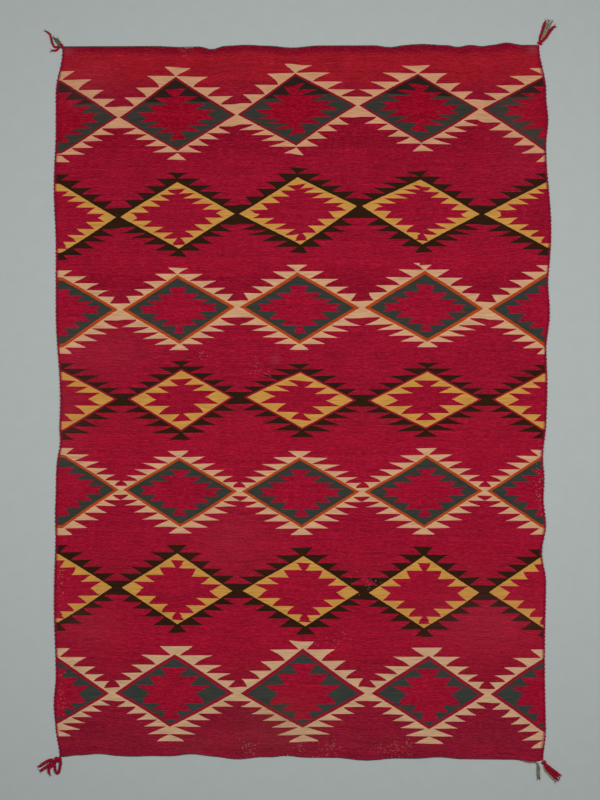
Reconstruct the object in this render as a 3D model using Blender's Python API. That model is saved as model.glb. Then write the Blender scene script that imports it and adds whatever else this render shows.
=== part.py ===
"""A handwoven wool serape that lies face up on a floor, with a cord along each edge and a tassel at each corner.

Metres, +Z up. The width of the cloth runs along X and its length along Y. The middle of the underside of the whole
thing is the origin.
"""

import math
from collections import namedtuple

import bmesh
import bpy
from mathutils import Matrix, Vector

# Driving dimensions. The overall sizes take in the edge cords and leave out the tassels.
OVERALL_WIDTH = 1.262
OVERALL_LENGTH = 1.833
CLOTH_THICKNESS = 0.002
END_CORD = 0.003
SIDE_CORD = 0.0035
GAP = 0.0003

WEB_WIDTH = OVERALL_WIDTH - 2 * (SIDE_CORD + GAP)
WEB_LENGTH = OVERALL_LENGTH - 2 * (END_CORD + GAP)

# Each end is woven a little out of square: this much further out at its right corner, and less at its left.
TOP_SLANT = 0.0019
BOTTOM_SLANT = 0.0062

# How far in from its edge a ripple still lifts the cloth. The rest of the cloth is flat on the floor.
END_RIPPLE_DEPTH = 0.17
SIDE_RIPPLE_DEPTH = 0.11
RING_DEPTHS = (0.025, 0.06, 0.11, 0.17)

END_STEPS = 64
SIDE_STEPS = 60

# A ripple of an edge: its place along the edge, how far the edge stands out there (or, below 0, draws in), how far
# the ripple reaches to each side, and how high the edge lifts off the floor.
Ripple = namedtuple("Ripple", "along out reach lift")

TOP_RIPPLES = (
    Ripple(-0.310, -0.0033, 0.077, 0.0018),
    Ripple(-0.235, -0.0088, 0.037, 0.0024),
    Ripple(-0.143, 0.0023, 0.057, 0.0000),
    Ripple(-0.022, -0.0059, 0.067, 0.0030),
    Ripple(0.235, -0.0051, 0.041, 0.0024),
    Ripple(0.320, 0.0031, 0.064, 0.0000),
    Ripple(0.415, -0.0051, 0.030, 0.0024),
    Ripple(0.479, -0.0033, 0.026, 0.0012),
    Ripple(0.544, 0.0060, 0.042, 0.0000),
)
BOTTOM_RIPPLES = (
    Ripple(-0.628, 0.0050, 0.048, 0.0000),
    Ripple(-0.528, -0.0046, 0.051, 0.0024),
    Ripple(-0.443, 0.0018, 0.057, 0.0000),
    Ripple(-0.284, -0.0069, 0.062, 0.0036),
    Ripple(-0.166, 0.0062, 0.067, 0.0000),
    Ripple(-0.037, -0.0046, 0.046, 0.0024),
    Ripple(0.168, 0.0059, 0.082, 0.0000),
    Ripple(0.358, -0.0051, 0.062, 0.0030),
    Ripple(0.600, 0.0077, 0.045, 0.0000),
)
LEFT_RIPPLES = (
    Ripple(0.902, -0.0170, 0.108, 0.0000),
    Ripple(0.552, 0.0051, 0.154, 0.0000),
    Ripple(0.003, -0.0115, 0.231, 0.0018),
    Ripple(-0.110, -0.0051, 0.051, 0.0012),
    Ripple(-0.296, 0.0020, 0.067, 0.0000),
    Ripple(-0.511, 0.0046, 0.206, 0.0012),
    Ripple(-0.779, 0.0051, 0.077, 0.0000),
    Ripple(-0.915, -0.0095, 0.080, 0.0000),
)
RIGHT_RIPPLES = (
    Ripple(0.912, -0.0180, 0.116, 0.0000),
    Ripple(0.722, 0.0051, 0.064, 0.0006),
    Ripple(0.440, 0.0129, 0.218, 0.0000),
    Ripple(0.229, 0.0090, 0.098, 0.0012),
    Ripple(0.041, 0.0031, 0.116, 0.0000),
    Ripple(-0.139, -0.0085, 0.090, 0.0018),
    Ripple(-0.242, -0.0070, 0.077, 0.0012),
    Ripple(-0.383, -0.0110, 0.077, 0.0018),
    Ripple(-0.660, -0.0036, 0.250, 0.0000),
    Ripple(-0.915, -0.0078, 0.085, 0.0000),
)

# The bottom end cord leaves the edge here, at this share of half the width, and its free tail lies on the floor.
TAIL_LEAVES_AT = 0.97
TailPoint = namedtuple("TailPoint", "x y radius")
TAIL = (
    TailPoint(0.6075, -0.9305, 0.0017),
    TailPoint(0.6096, -0.9350, 0.0022),
    TailPoint(0.6104, -0.9415, 0.0030),
    TailPoint(0.6100, -0.9485, 0.0027),
    TailPoint(0.6108, -0.9555, 0.0031),
    TailPoint(0.6106, -0.9630, 0.0027),
    TailPoint(0.6116, -0.9720, 0.0030),
)

# A strand of a tassel: its width, and the places on the floor that it passes after it leaves the knot. A strand that
# is a loop comes back to the knot.
Strand = namedtuple("Strand", "width loop route")

# A tassel: the corner of the web that it is tied to (which way it lies along X and Y), the far end of its knot, the
# knot's radius there, and its strands.
Tassel = namedtuple("Tassel", "corner knot_end radius strands")

TASSELS = {
    "tassel_top_left": Tassel((-1, 1), (-0.6185, 0.9165), 0.0030, (
        Strand(0.0040, False, (
            (-0.6309, 0.9098), (-0.6374, 0.9175), (-0.6412, 0.9303),
            (-0.6438, 0.9406), (-0.6489, 0.9470), (-0.6554, 0.9509),
        )),
        Strand(0.0040, False, ((-0.6265, 0.9028), (-0.6330, 0.9012), (-0.6399, 0.9013))),
        Strand(0.0050, False, ((-0.6235, 0.9195), (-0.6285, 0.9260), (-0.6338, 0.9332))),
        Strand(0.0040, False, ((-0.6195, 0.9200), (-0.6222, 0.9250), (-0.6252, 0.9296))),
        Strand(0.0034, False, ((-0.6160, 0.9170), (-0.6158, 0.9215))),
    )),
    "tassel_top_right": Tassel((1, 1), (0.6170, 0.9255), 0.0036, (
        Strand(0.0040, False, ((0.6146, 0.9381), (0.6200, 0.9535), (0.6241, 0.9676), (0.6294, 0.9766))),
        Strand(0.0030, False, ((0.6220, 0.9406), (0.6290, 0.9586), (0.6338, 0.9689), (0.6390, 0.9779))),
        Strand(0.0025, False, ((0.6260, 0.9420), (0.6334, 0.9560), (0.6386, 0.9655), (0.6464, 0.9740))),
        Strand(0.0058, False, ((0.6284, 0.9360), (0.6388, 0.9509), (0.6468, 0.9595), (0.6520, 0.9625))),
    )),
    "tassel_bottom_left": Tassel((-1, -1), (-0.6322, -0.9240), 0.0044, (
        Strand(0.0042, False, ((-0.6438, -0.9247), (-0.6566, -0.9303), (-0.6733, -0.9419))),
        Strand(0.0042, False, ((-0.6438, -0.9316), (-0.6515, -0.9381), (-0.6682, -0.9509))),
        Strand(0.0040, False, ((-0.6400, -0.9355), (-0.6465, -0.9425), (-0.6482, -0.9500), (-0.6460, -0.9600))),
        Strand(0.0036, True, (
            (-0.6333, -0.9330), (-0.6322, -0.9432), (-0.6302, -0.9518), (-0.6270, -0.9556), (-0.6228, -0.9568),
            (-0.6180, -0.9550), (-0.6152, -0.9510), (-0.6145, -0.9381), (-0.6180, -0.9262),
        )),
    )),
    "tassel_bottom_right": Tassel((1, -1), (0.6282, -0.9315), 0.0032, (
        Strand(0.0040, False, ((0.6418, -0.9444), (0.6546, -0.9545), (0.6660, -0.9600))),
        Strand(0.0040, False, ((0.6356, -0.9480), (0.6480, -0.9607), (0.6635, -0.9701))),
        Strand(0.0025, False, ((0.6308, -0.9478), (0.6423, -0.9657), (0.6551, -0.9779))),
    )),
}

# A knot starts this thick at the corner. Further along it has this much of the fullness that its radius gives it.
KNOT_START = 0.0022
KNOT_SIDES = 8
KnotPart = namedtuple("KnotPart", "share fullness")
KNOT_SHAPE = (KnotPart(0.35, 0.6), KnotPart(0.75, 1.0), KnotPart(1.0, 0.8), KnotPart(1.15, 0.0))

CORD_SIDES = 6
STRAND_STEP = 0.005
STRAND_HEIGHT = 0.0034
STRAND_TOP_SHARE = 0.6
STRAND_TIP_SHARE = 0.6
ROOT_LENGTH = 0.009

WOOL_ROUGHNESS = 0.9
CRIMSON = (0.279, 0.006, 0.021, 1.0)
DARK_RED = (0.150, 0.005, 0.015, 1.0)
GREY_GREEN = (0.055, 0.060, 0.040, 1.0)


def clear_scene():
    for obj in list(bpy.data.objects):
        bpy.data.objects.remove(obj, do_unlink=True)


def wool(name, colour):
    material = bpy.data.materials.new(name)
    material.use_nodes = True
    shader = material.node_tree.nodes["Principled BSDF"]
    shader.inputs["Base Color"].default_value = colour
    shader.inputs["Roughness"].default_value = WOOL_ROUGHNESS
    shader.inputs["Metallic"].default_value = 0.0
    material.diffuse_color = colour
    return material


def new_object(name, bm, material):
    """An object of this name with the mesh that was built in bm."""
    bmesh.ops.recalc_face_normals(bm, faces=bm.faces)
    mesh = bpy.data.meshes.new(name)
    bm.to_mesh(mesh)
    bm.free()
    mesh.materials.append(material)
    obj = bpy.data.objects.new(name, mesh)
    bpy.context.scene.collection.objects.link(obj)
    return obj


def bump(distance, reach):
    """1 at the middle of a ripple, and 0 from its reach on."""
    if abs(distance) >= reach:
        return 0.0
    return 0.5 + 0.5 * math.cos(math.pi * distance / reach)


def stands_out(ripples, along):
    return sum(ripple.out * bump(along - ripple.along, ripple.reach) for ripple in ripples)


def lifts(ripples, along):
    return sum(ripple.lift * bump(along - ripple.along, ripple.reach) for ripple in ripples)


def fade(inward, depth):
    """1 at an edge, and 0 from this depth inward on."""
    return max(0.0, 1.0 - inward / depth) ** 2


def on_web(u, v):
    """The point on the underside of the web at u across and v along, each from -1 to 1."""
    across = u * WEB_WIDTH / 2
    along = v * WEB_LENGTH / 2
    top = stands_out(TOP_RIPPLES, across) + TOP_SLANT * u
    bottom = stands_out(BOTTOM_RIPPLES, across) + BOTTOM_SLANT * u
    right = stands_out(RIGHT_RIPPLES, along)
    left = stands_out(LEFT_RIPPLES, along)
    x = across + (1 + u) / 2 * right - (1 - u) / 2 * left
    y = along + (1 + v) / 2 * top - (1 - v) / 2 * bottom
    from_top = (1 - v) * WEB_LENGTH / 2
    from_bottom = (1 + v) * WEB_LENGTH / 2
    from_right = (1 - u) * WEB_WIDTH / 2
    from_left = (1 + u) * WEB_WIDTH / 2
    z = (
        lifts(TOP_RIPPLES, across) * fade(from_top, END_RIPPLE_DEPTH)
        + lifts(BOTTOM_RIPPLES, across) * fade(from_bottom, END_RIPPLE_DEPTH)
        + lifts(RIGHT_RIPPLES, along) * fade(from_right, SIDE_RIPPLE_DEPTH)
        + lifts(LEFT_RIPPLES, along) * fade(from_left, SIDE_RIPPLE_DEPTH)
    )
    return Vector((x, y, z))


def spread(steps):
    return [2 * index / steps - 1 for index in range(steps + 1)]


def outline():
    """The places, as (u, v), round the edge of the web, anticlockwise from its bottom left corner."""
    bottom = [(u, -1.0) for u in spread(END_STEPS)[:-1]]
    right = [(1.0, v) for v in spread(SIDE_STEPS)[:-1]]
    top = [(-u, 1.0) for u in spread(END_STEPS)[:-1]]
    left = [(-1.0, -v) for v in spread(SIDE_STEPS)[:-1]]
    return bottom + right + top + left


def make_web(material):
    """One sheet: rings of faces follow the ripples round its edge, and one large face is its flat middle."""
    bm = bmesh.new()
    middle = bm.faces.new([bm.verts.new((u, v, 0.0)) for u, v in outline()])
    size_u = size_v = 1.0
    for depth in RING_DEPTHS:
        next_u = 1 - depth / (WEB_WIDTH / 2)
        next_v = 1 - depth / (WEB_LENGTH / 2)
        middle = bmesh.ops.extrude_discrete_faces(bm, faces=[middle])["faces"][0]
        bmesh.ops.scale(bm, vec=(next_u / size_u, next_v / size_v, 1.0), verts=middle.verts[:])
        size_u = next_u
        size_v = next_v
    for vert in bm.verts:
        vert.co = on_web(vert.co.x, vert.co.y)
    upper = bmesh.ops.extrude_face_region(bm, geom=bm.faces[:], use_keep_orig=True)["geom"]
    upper_verts = [item for item in upper if isinstance(item, bmesh.types.BMVert)]
    bmesh.ops.translate(bm, vec=(0.0, 0.0, CLOTH_THICKNESS), verts=upper_verts)
    return new_object("web", bm, material)


def heading(path, index):
    """Which way a path on the floor runs at one of its points, and how much wider its section gets in the bend."""
    before = path[index] - path[max(index - 1, 0)]
    after = path[min(index + 1, len(path) - 1)] - path[index]
    before.z = after.z = 0.0
    if before.length == 0.0:
        before = after.copy()
    if after.length == 0.0:
        after = before.copy()
    before.normalize()
    after.normalize()
    along = (before + after).normalized()
    return along, 1.0 / max(0.5, along.dot(after))


def loft(path, sections):
    """A closed mesh along a path, with one ring of (aside, up) places round each of its points."""
    bm = bmesh.new()
    rings = []
    for index, section in enumerate(sections):
        along, wider = heading(path, index)
        aside = Vector((along.y, -along.x, 0.0)) * wider
        rings.append([bm.verts.new(path[index] + aside * out + Vector((0.0, 0.0, up))) for out, up in section])
    for near, far in zip(rings, rings[1:]):
        for one in range(len(near)):
            bm.faces.new((near[one - 1], near[one], far[one], far[one - 1]))
    bm.faces.new(rings[0])
    bm.faces.new(rings[-1])
    return bm


def round_section(radius, sides):
    """A ring that rests on one of its flat sides."""
    turn = 2 * math.pi / sides
    rest = radius * math.cos(turn / 2)
    first = -math.pi / 2 + turn / 2
    angles = [first + turn * side for side in range(sides)]
    return [(radius * math.cos(angle), rest + radius * math.sin(angle)) for angle in angles]


def beside(edge, distance):
    """The points of an edge, moved outward, which is to the right of the way it runs."""
    moved = []
    for index, point in enumerate(edge):
        along, wider = heading(edge, index)
        moved.append(point + Vector((along.y, -along.x, 0.0)) * wider * distance)
    return moved


def make_cord(name, edge, diameter, material, tail=()):
    """A round cord that lies against an edge of the web, and the free tail that it may end in."""
    path = beside(edge, diameter / 2 + GAP) + [Vector((point.x, point.y, 0.0)) for point in tail]
    radii = [diameter / 2] * len(edge) + [point.radius for point in tail]
    sections = [round_section(radius, CORD_SIDES) for radius in radii]
    return new_object(name, loft(path, sections), material)


def smooth_route(points, step):
    """Points about one step apart on a smooth curve through the given ones."""
    points = [Vector((x, y, 0.0)) for x, y in points]
    ends = [2 * points[0] - points[1]] + points + [2 * points[-1] - points[-2]]
    route = [points[0]]
    for before, start, end, after in zip(ends, ends[1:], ends[2:], ends[3:]):
        steps = max(1, round((end - start).length / step))
        for index in range(1, steps + 1):
            t = index / steps
            bend = 2 * before - 5 * start + 4 * end - after
            twist = 3 * start - before - 3 * end + after
            route.append(start + t * (end - before) / 2 + t * t * bend / 2 + t * t * t * twist / 2)
    return route


def root_height(path, index, high):
    """How high a strand still is, on its way down from the middle of the knot to the floor."""
    walked = sum((path[n + 1] - path[n]).length for n in range(index))
    return high * max(0.0, 1.0 - walked / ROOT_LENGTH) ** 2


def strand_section(width):
    half = width / 2
    narrow = half * STRAND_TOP_SHARE
    return [(-half, 0.0), (half, 0.0), (narrow, STRAND_HEIGHT), (-narrow, STRAND_HEIGHT)]


def make_strand(name, tassel, strand, inside, material):
    """One strand as a solid of its own, which the knot is then joined to. A loop comes back to a place inside it."""
    points = [tassel.knot_end] + list(strand.route)
    if strand.loop:
        points.append(inside)
    path = smooth_route(points, STRAND_STEP)
    high = tassel.radius / 2
    rises = [root_height(path, index, high) for index in range(len(path))]
    if strand.loop:
        back = path[::-1]
        returns = [root_height(back, index, high) for index in range(len(back))]
        rises = [max(pair) for pair in zip(rises, returns[::-1])]
    for point, rise in zip(path, rises):
        point.z = rise
    sections = [strand_section(strand.width) for _ in path]
    if not strand.loop:
        sections[-1] = strand_section(strand.width * STRAND_TIP_SHARE)
    obj = new_object(name, loft(path, sections), material)
    obj.hide_render = True
    obj.display_type = "WIRE"
    return obj


def make_tassel(name, tassel, material):
    """A knot at a corner of the web, with its strands joined to it."""
    side_x, side_y = tassel.corner
    corner = on_web(side_x, side_y)
    end = Vector((*tassel.knot_end, 0.0))
    way = (end - corner).normalized()
    clear_x = GAP + KNOT_START * abs(way.y)
    clear_y = GAP + KNOT_START * abs(way.x)
    start = Vector((corner.x + side_x * clear_x, corner.y + side_y * clear_y, 0.0))
    path = [start] + [start.lerp(end, part.share) for part in KNOT_SHAPE]
    radii = [KNOT_START] + [KNOT_START + (tassel.radius - KNOT_START) * part.fullness for part in KNOT_SHAPE]
    knot = new_object(name, loft(path, [round_section(radius, KNOT_SIDES) for radius in radii]), material)
    strands = bpy.data.collections.new(name + "_strands")
    bpy.context.scene.collection.children.link(strands)
    for number, strand in enumerate(tassel.strands, 1):
        obj = make_strand(f"{name}_strand_{number}", tassel, strand, path[1].xy, material)
        bpy.context.scene.collection.objects.unlink(obj)
        strands.objects.link(obj)
    join = knot.modifiers.new("Join strands", "BOOLEAN")
    join.operation = "UNION"
    join.solver = "EXACT"
    join.operand_type = "COLLECTION"
    join.collection = strands
    return knot


def centre_on_origin():
    """Moves everything so that the middle of the underside of the whole thing is the origin."""
    meshes = [obj.data for obj in bpy.context.scene.objects]
    places = [vert.co for mesh in meshes for vert in mesh.vertices]
    middle_x = (min(place.x for place in places) + max(place.x for place in places)) / 2
    middle_y = (min(place.y for place in places) + max(place.y for place in places)) / 2
    shift = Matrix.Translation((-middle_x, -middle_y, 0.0))
    for mesh in meshes:
        mesh.transform(shift)


def main():
    clear_scene()
    crimson = wool("Crimson wool", CRIMSON)
    dark_red = wool("Dark red wool cord", DARK_RED)
    grey_green = wool("Grey-green wool cord", GREY_GREEN)
    make_web(crimson)
    across = spread(END_STEPS)
    along = spread(SIDE_STEPS)
    make_cord("end_cord_top", [on_web(-u, 1.0) for u in across], END_CORD, grey_green)
    under = [on_web(u, -1.0) for u in across if u < TAIL_LEAVES_AT]
    make_cord("end_cord_bottom", under, END_CORD, grey_green, TAIL)
    make_cord("side_cord_right", [on_web(1.0, v) for v in along], SIDE_CORD, dark_red)
    make_cord("side_cord_left", [on_web(-1.0, -v) for v in along], SIDE_CORD, dark_red)
    for name, tassel in TASSELS.items():
        make_tassel(name, tassel, dark_red)
    centre_on_origin()


main()
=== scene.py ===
"""Dresses a packed serape: its woven pattern, its cords and its corner tassels, laid out on a studio floor.

Metres unless a name or a comment says millimetres, +Z up. The width of the cloth runs along X and its length
along Y.
"""

import math
from collections import namedtuple

import bmesh
import bpy
import numpy as np
from bpy.props import FloatProperty, FloatVectorProperty, IntProperty, PointerProperty
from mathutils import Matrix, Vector


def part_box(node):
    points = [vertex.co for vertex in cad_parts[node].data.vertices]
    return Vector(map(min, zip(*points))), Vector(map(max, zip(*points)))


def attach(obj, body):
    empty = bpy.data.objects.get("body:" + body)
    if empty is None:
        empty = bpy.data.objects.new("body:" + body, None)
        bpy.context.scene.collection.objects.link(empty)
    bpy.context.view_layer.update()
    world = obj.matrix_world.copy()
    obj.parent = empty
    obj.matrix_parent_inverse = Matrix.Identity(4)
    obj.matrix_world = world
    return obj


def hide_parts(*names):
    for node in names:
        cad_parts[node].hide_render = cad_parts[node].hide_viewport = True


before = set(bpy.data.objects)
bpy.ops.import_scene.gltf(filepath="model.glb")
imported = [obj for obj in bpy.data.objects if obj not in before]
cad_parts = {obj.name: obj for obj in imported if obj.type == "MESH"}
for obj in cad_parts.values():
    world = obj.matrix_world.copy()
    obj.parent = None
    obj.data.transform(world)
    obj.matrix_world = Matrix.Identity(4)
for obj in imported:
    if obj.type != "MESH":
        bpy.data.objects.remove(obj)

bl_info = {
    "name": "Serape",
    "version": (1, 0, 0),
    "blender": (4, 5, 0),
    "location": "3D View > Sidebar > Serape",
    "description": "Weaves a wool serape with its cords and tassels and lays it out on a studio floor",
    "category": "Object",
}

MILLIMETRE = 0.001

# The cloth's own sizes and the ripples of its edges, as the solids have them.
OVERALL_WIDTH = 1.262
OVERALL_LENGTH = 1.833
CLOTH_THICKNESS = 0.002
END_CORD = 0.003
SIDE_CORD = 0.0035
GAP = 0.0003
WEB_WIDTH = OVERALL_WIDTH - 2 * (SIDE_CORD + GAP)
WEB_LENGTH = OVERALL_LENGTH - 2 * (END_CORD + GAP)
TOP_SLANT = 0.0019
BOTTOM_SLANT = 0.0062
END_RIPPLE_DEPTH = 0.17
SIDE_RIPPLE_DEPTH = 0.11
END_STEPS = 64
SIDE_STEPS = 60

# A ripple of an edge: its place along the edge, how far the edge stands out there (or, below 0, draws in),
# how far the ripple reaches to each side, and how high the edge lifts off the floor.
Ripple = namedtuple("Ripple", "along out reach lift")

TOP_RIPPLES = (
    Ripple(-0.310, -0.0033, 0.077, 0.0018),
    Ripple(-0.235, -0.0088, 0.037, 0.0024),
    Ripple(-0.143, 0.0023, 0.057, 0.0000),
    Ripple(-0.022, -0.0059, 0.067, 0.0030),
    Ripple(0.235, -0.0051, 0.041, 0.0024),
    Ripple(0.320, 0.0031, 0.064, 0.0000),
    Ripple(0.415, -0.0051, 0.030, 0.0024),
    Ripple(0.479, -0.0033, 0.026, 0.0012),
    Ripple(0.544, 0.0060, 0.042, 0.0000),
)
BOTTOM_RIPPLES = (
    Ripple(-0.628, 0.0050, 0.048, 0.0000),
    Ripple(-0.528, -0.0046, 0.051, 0.0024),
    Ripple(-0.443, 0.0018, 0.057, 0.0000),
    Ripple(-0.284, -0.0069, 0.062, 0.0036),
    Ripple(-0.166, 0.0062, 0.067, 0.0000),
    Ripple(-0.037, -0.0046, 0.046, 0.0024),
    Ripple(0.168, 0.0059, 0.082, 0.0000),
    Ripple(0.358, -0.0051, 0.062, 0.0030),
    Ripple(0.600, 0.0077, 0.045, 0.0000),
)
LEFT_RIPPLES = (
    Ripple(0.902, -0.0170, 0.108, 0.0000),
    Ripple(0.552, 0.0051, 0.154, 0.0000),
    Ripple(0.003, -0.0115, 0.231, 0.0018),
    Ripple(-0.110, -0.0051, 0.051, 0.0012),
    Ripple(-0.296, 0.0020, 0.067, 0.0000),
    Ripple(-0.511, 0.0046, 0.206, 0.0012),
    Ripple(-0.779, 0.0051, 0.077, 0.0000),
    Ripple(-0.915, -0.0095, 0.080, 0.0000),
)
RIGHT_RIPPLES = (
    Ripple(0.912, -0.0180, 0.116, 0.0000),
    Ripple(0.722, 0.0051, 0.064, 0.0006),
    Ripple(0.440, 0.0129, 0.218, 0.0000),
    Ripple(0.229, 0.0090, 0.098, 0.0012),
    Ripple(0.041, 0.0031, 0.116, 0.0000),
    Ripple(-0.139, -0.0085, 0.090, 0.0018),
    Ripple(-0.242, -0.0070, 0.077, 0.0012),
    Ripple(-0.383, -0.0110, 0.077, 0.0018),
    Ripple(-0.660, -0.0036, 0.250, 0.0000),
    Ripple(-0.915, -0.0078, 0.085, 0.0000),
)

# The bottom end cord leaves the edge here, at this share of half the width, and its free tail lies on the
# floor.
TAIL_LEAVES_AT = 0.97
TailPoint = namedtuple("TailPoint", "x y radius")
TAIL = (
    TailPoint(0.6070, -0.9300, 0.0020),
    TailPoint(0.6084, -0.9345, 0.0027),
    TailPoint(0.6090, -0.9410, 0.0035),
    TailPoint(0.6086, -0.9480, 0.0030),
    TailPoint(0.6094, -0.9545, 0.0036),
    TailPoint(0.6092, -0.9610, 0.0031),
    TailPoint(0.6100, -0.9670, 0.0034),
)

# A strand of a tassel: its yarn, its width, and the places on the floor that it passes after it leaves the
# knot. A strand that is a loop comes back to the knot.
Strand = namedtuple("Strand", "yarn width loop route")

# A tassel: the corner of the web that it is tied to, the far end of its knot, the knot's radius there, and
# its strands.
Tassel = namedtuple("Tassel", "corner knot_end radius strands")

TASSELS = {
    "top_left": Tassel((-1, 1), (-0.6200, 0.9120), 0.0030, (
        Strand("red", 0.0040, False, (
            (-0.6309, 0.9098), (-0.6374, 0.9175), (-0.6412, 0.9303),
            (-0.6438, 0.9406), (-0.6489, 0.9470), (-0.6554, 0.9509),
        )),
        Strand("red", 0.0040, False, ((-0.6265, 0.9028), (-0.6330, 0.9012), (-0.6399, 0.9013))),
        Strand("green", 0.0050, False, ((-0.6225, 0.9180), (-0.6285, 0.9260), (-0.6338, 0.9332))),
        Strand("green", 0.0040, False, ((-0.6190, 0.9180), (-0.6222, 0.9250), (-0.6252, 0.9296))),
        Strand("green", 0.0034, False, ((-0.6175, 0.9160), (-0.6188, 0.9210))),
    )),
    "top_right": Tassel((1, 1), (0.6142, 0.9215), 0.0032, (
        Strand("red", 0.0046, False, (
            (0.6140, 0.9345), (0.6190, 0.9500), (0.6234, 0.9660), (0.6280, 0.9766),
        )),
        Strand("olive", 0.0042, False, (
            (0.6195, 0.9350), (0.6260, 0.9520), (0.6310, 0.9665), (0.6368, 0.9779),
        )),
        Strand("olive", 0.0040, False, (
            (0.6240, 0.9355), (0.6316, 0.9530), (0.6372, 0.9645), (0.6440, 0.9745),
        )),
        Strand("red", 0.0058, False, (
            (0.6270, 0.9335), (0.6380, 0.9495), (0.6460, 0.9592), (0.6516, 0.9632),
        )),
    )),
    "bottom_left": Tassel((-1, -1), (-0.6322, -0.9240), 0.0044, (
        Strand("red", 0.0058, False, ((-0.6430, -0.9205), (-0.6560, -0.9262), (-0.6730, -0.9378))),
        Strand("red", 0.0058, False, ((-0.6438, -0.9300), (-0.6525, -0.9370), (-0.6690, -0.9485))),
        Strand("red", 0.0052, False, (
            (-0.6400, -0.9345), (-0.6465, -0.9425), (-0.6482, -0.9490), (-0.6458, -0.9575),
        )),
        Strand("red", 0.0052, True, (
            (-0.6330, -0.9330), (-0.6320, -0.9430), (-0.6298, -0.9510), (-0.6262, -0.9542),
            (-0.6224, -0.9518), (-0.6200, -0.9430), (-0.6186, -0.9345), (-0.6175, -0.9262),
        )),
    )),
    "bottom_right": Tassel((1, -1), (0.6240, -0.9282), 0.0030, (
        Strand("red", 0.0052, False, (
            (0.6370, -0.9385), (0.6480, -0.9470), (0.6565, -0.9535), (0.6645, -0.9590),
        )),
        Strand("red", 0.0036, False, (
            (0.6342, -0.9412), (0.6456, -0.9515), (0.6540, -0.9588), (0.6628, -0.9652),
        )),
        Strand("red", 0.0052, False, (
            (0.6310, -0.9440), (0.6430, -0.9560), (0.6510, -0.9640), (0.6592, -0.9715),
        )),
        Strand("olive", 0.0036, False, (
            (0.6262, -0.9445), (0.6370, -0.9580), (0.6450, -0.9670), (0.6530, -0.9758),
        )),
    )),
}
KNOT_START = 0.0022
STRAND_STEP = 0.0012
ROOT_LENGTH = 0.009

# The chart of the pattern. Each row was read off the photo and corrected beside the render. It
# is kept here in the photo's pixels, and the functions below turn it into whole millimetres: so many to a
# pixel, counted from the pixel at the middle of the web.
PIXEL = 2.57
MIDDLE_X = 301
MIDDLE_Y = 401.6

# A row is a chain of diamonds. Joins are the corners where neighbours meet, and peaks are the upper and
# lower corners of each diamond, the ones at the two selvages cut in half.
Join = namedtuple("Join", "x y")
Peak = namedtuple("Peak", "top_x top_y bottom_x bottom_y")
Yarns = namedtuple("Yarns", "outer line inner centre")

# A thin line follows the inside of each diamond: how far it lies inside the corners at the joins and at the
# peaks, and how wide it is, all measured along the weft.
Line = namedtuple("Line", "at_join at_peak width")

# A serrated edge is woven tooth by tooth, away from the row's middle. Each tooth has its flat side at this
# share of the diamond's half height, its foot this far from the diamond's edge, and this length along the
# weft.
Tooth = namedtuple("Tooth", "at foot length")
Row = namedtuple("Row", "yarns begins joins peaks line teeth_up teeth_down inner_up inner_down")

# Teeth look shorter once they are woven than they were read, and lie a little to one side, so the outer
# teeth of a row are all moved and lengthened by one amount, and its inner teeth by another.
Shift = namedtuple("Shift", "foot length")
Reading = namedtuple(
    "Reading",
    "yarns joins peaks line foot_at_joins outer_shift teeth_up teeth_down inner_shift inner_up inner_down",
)

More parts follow.
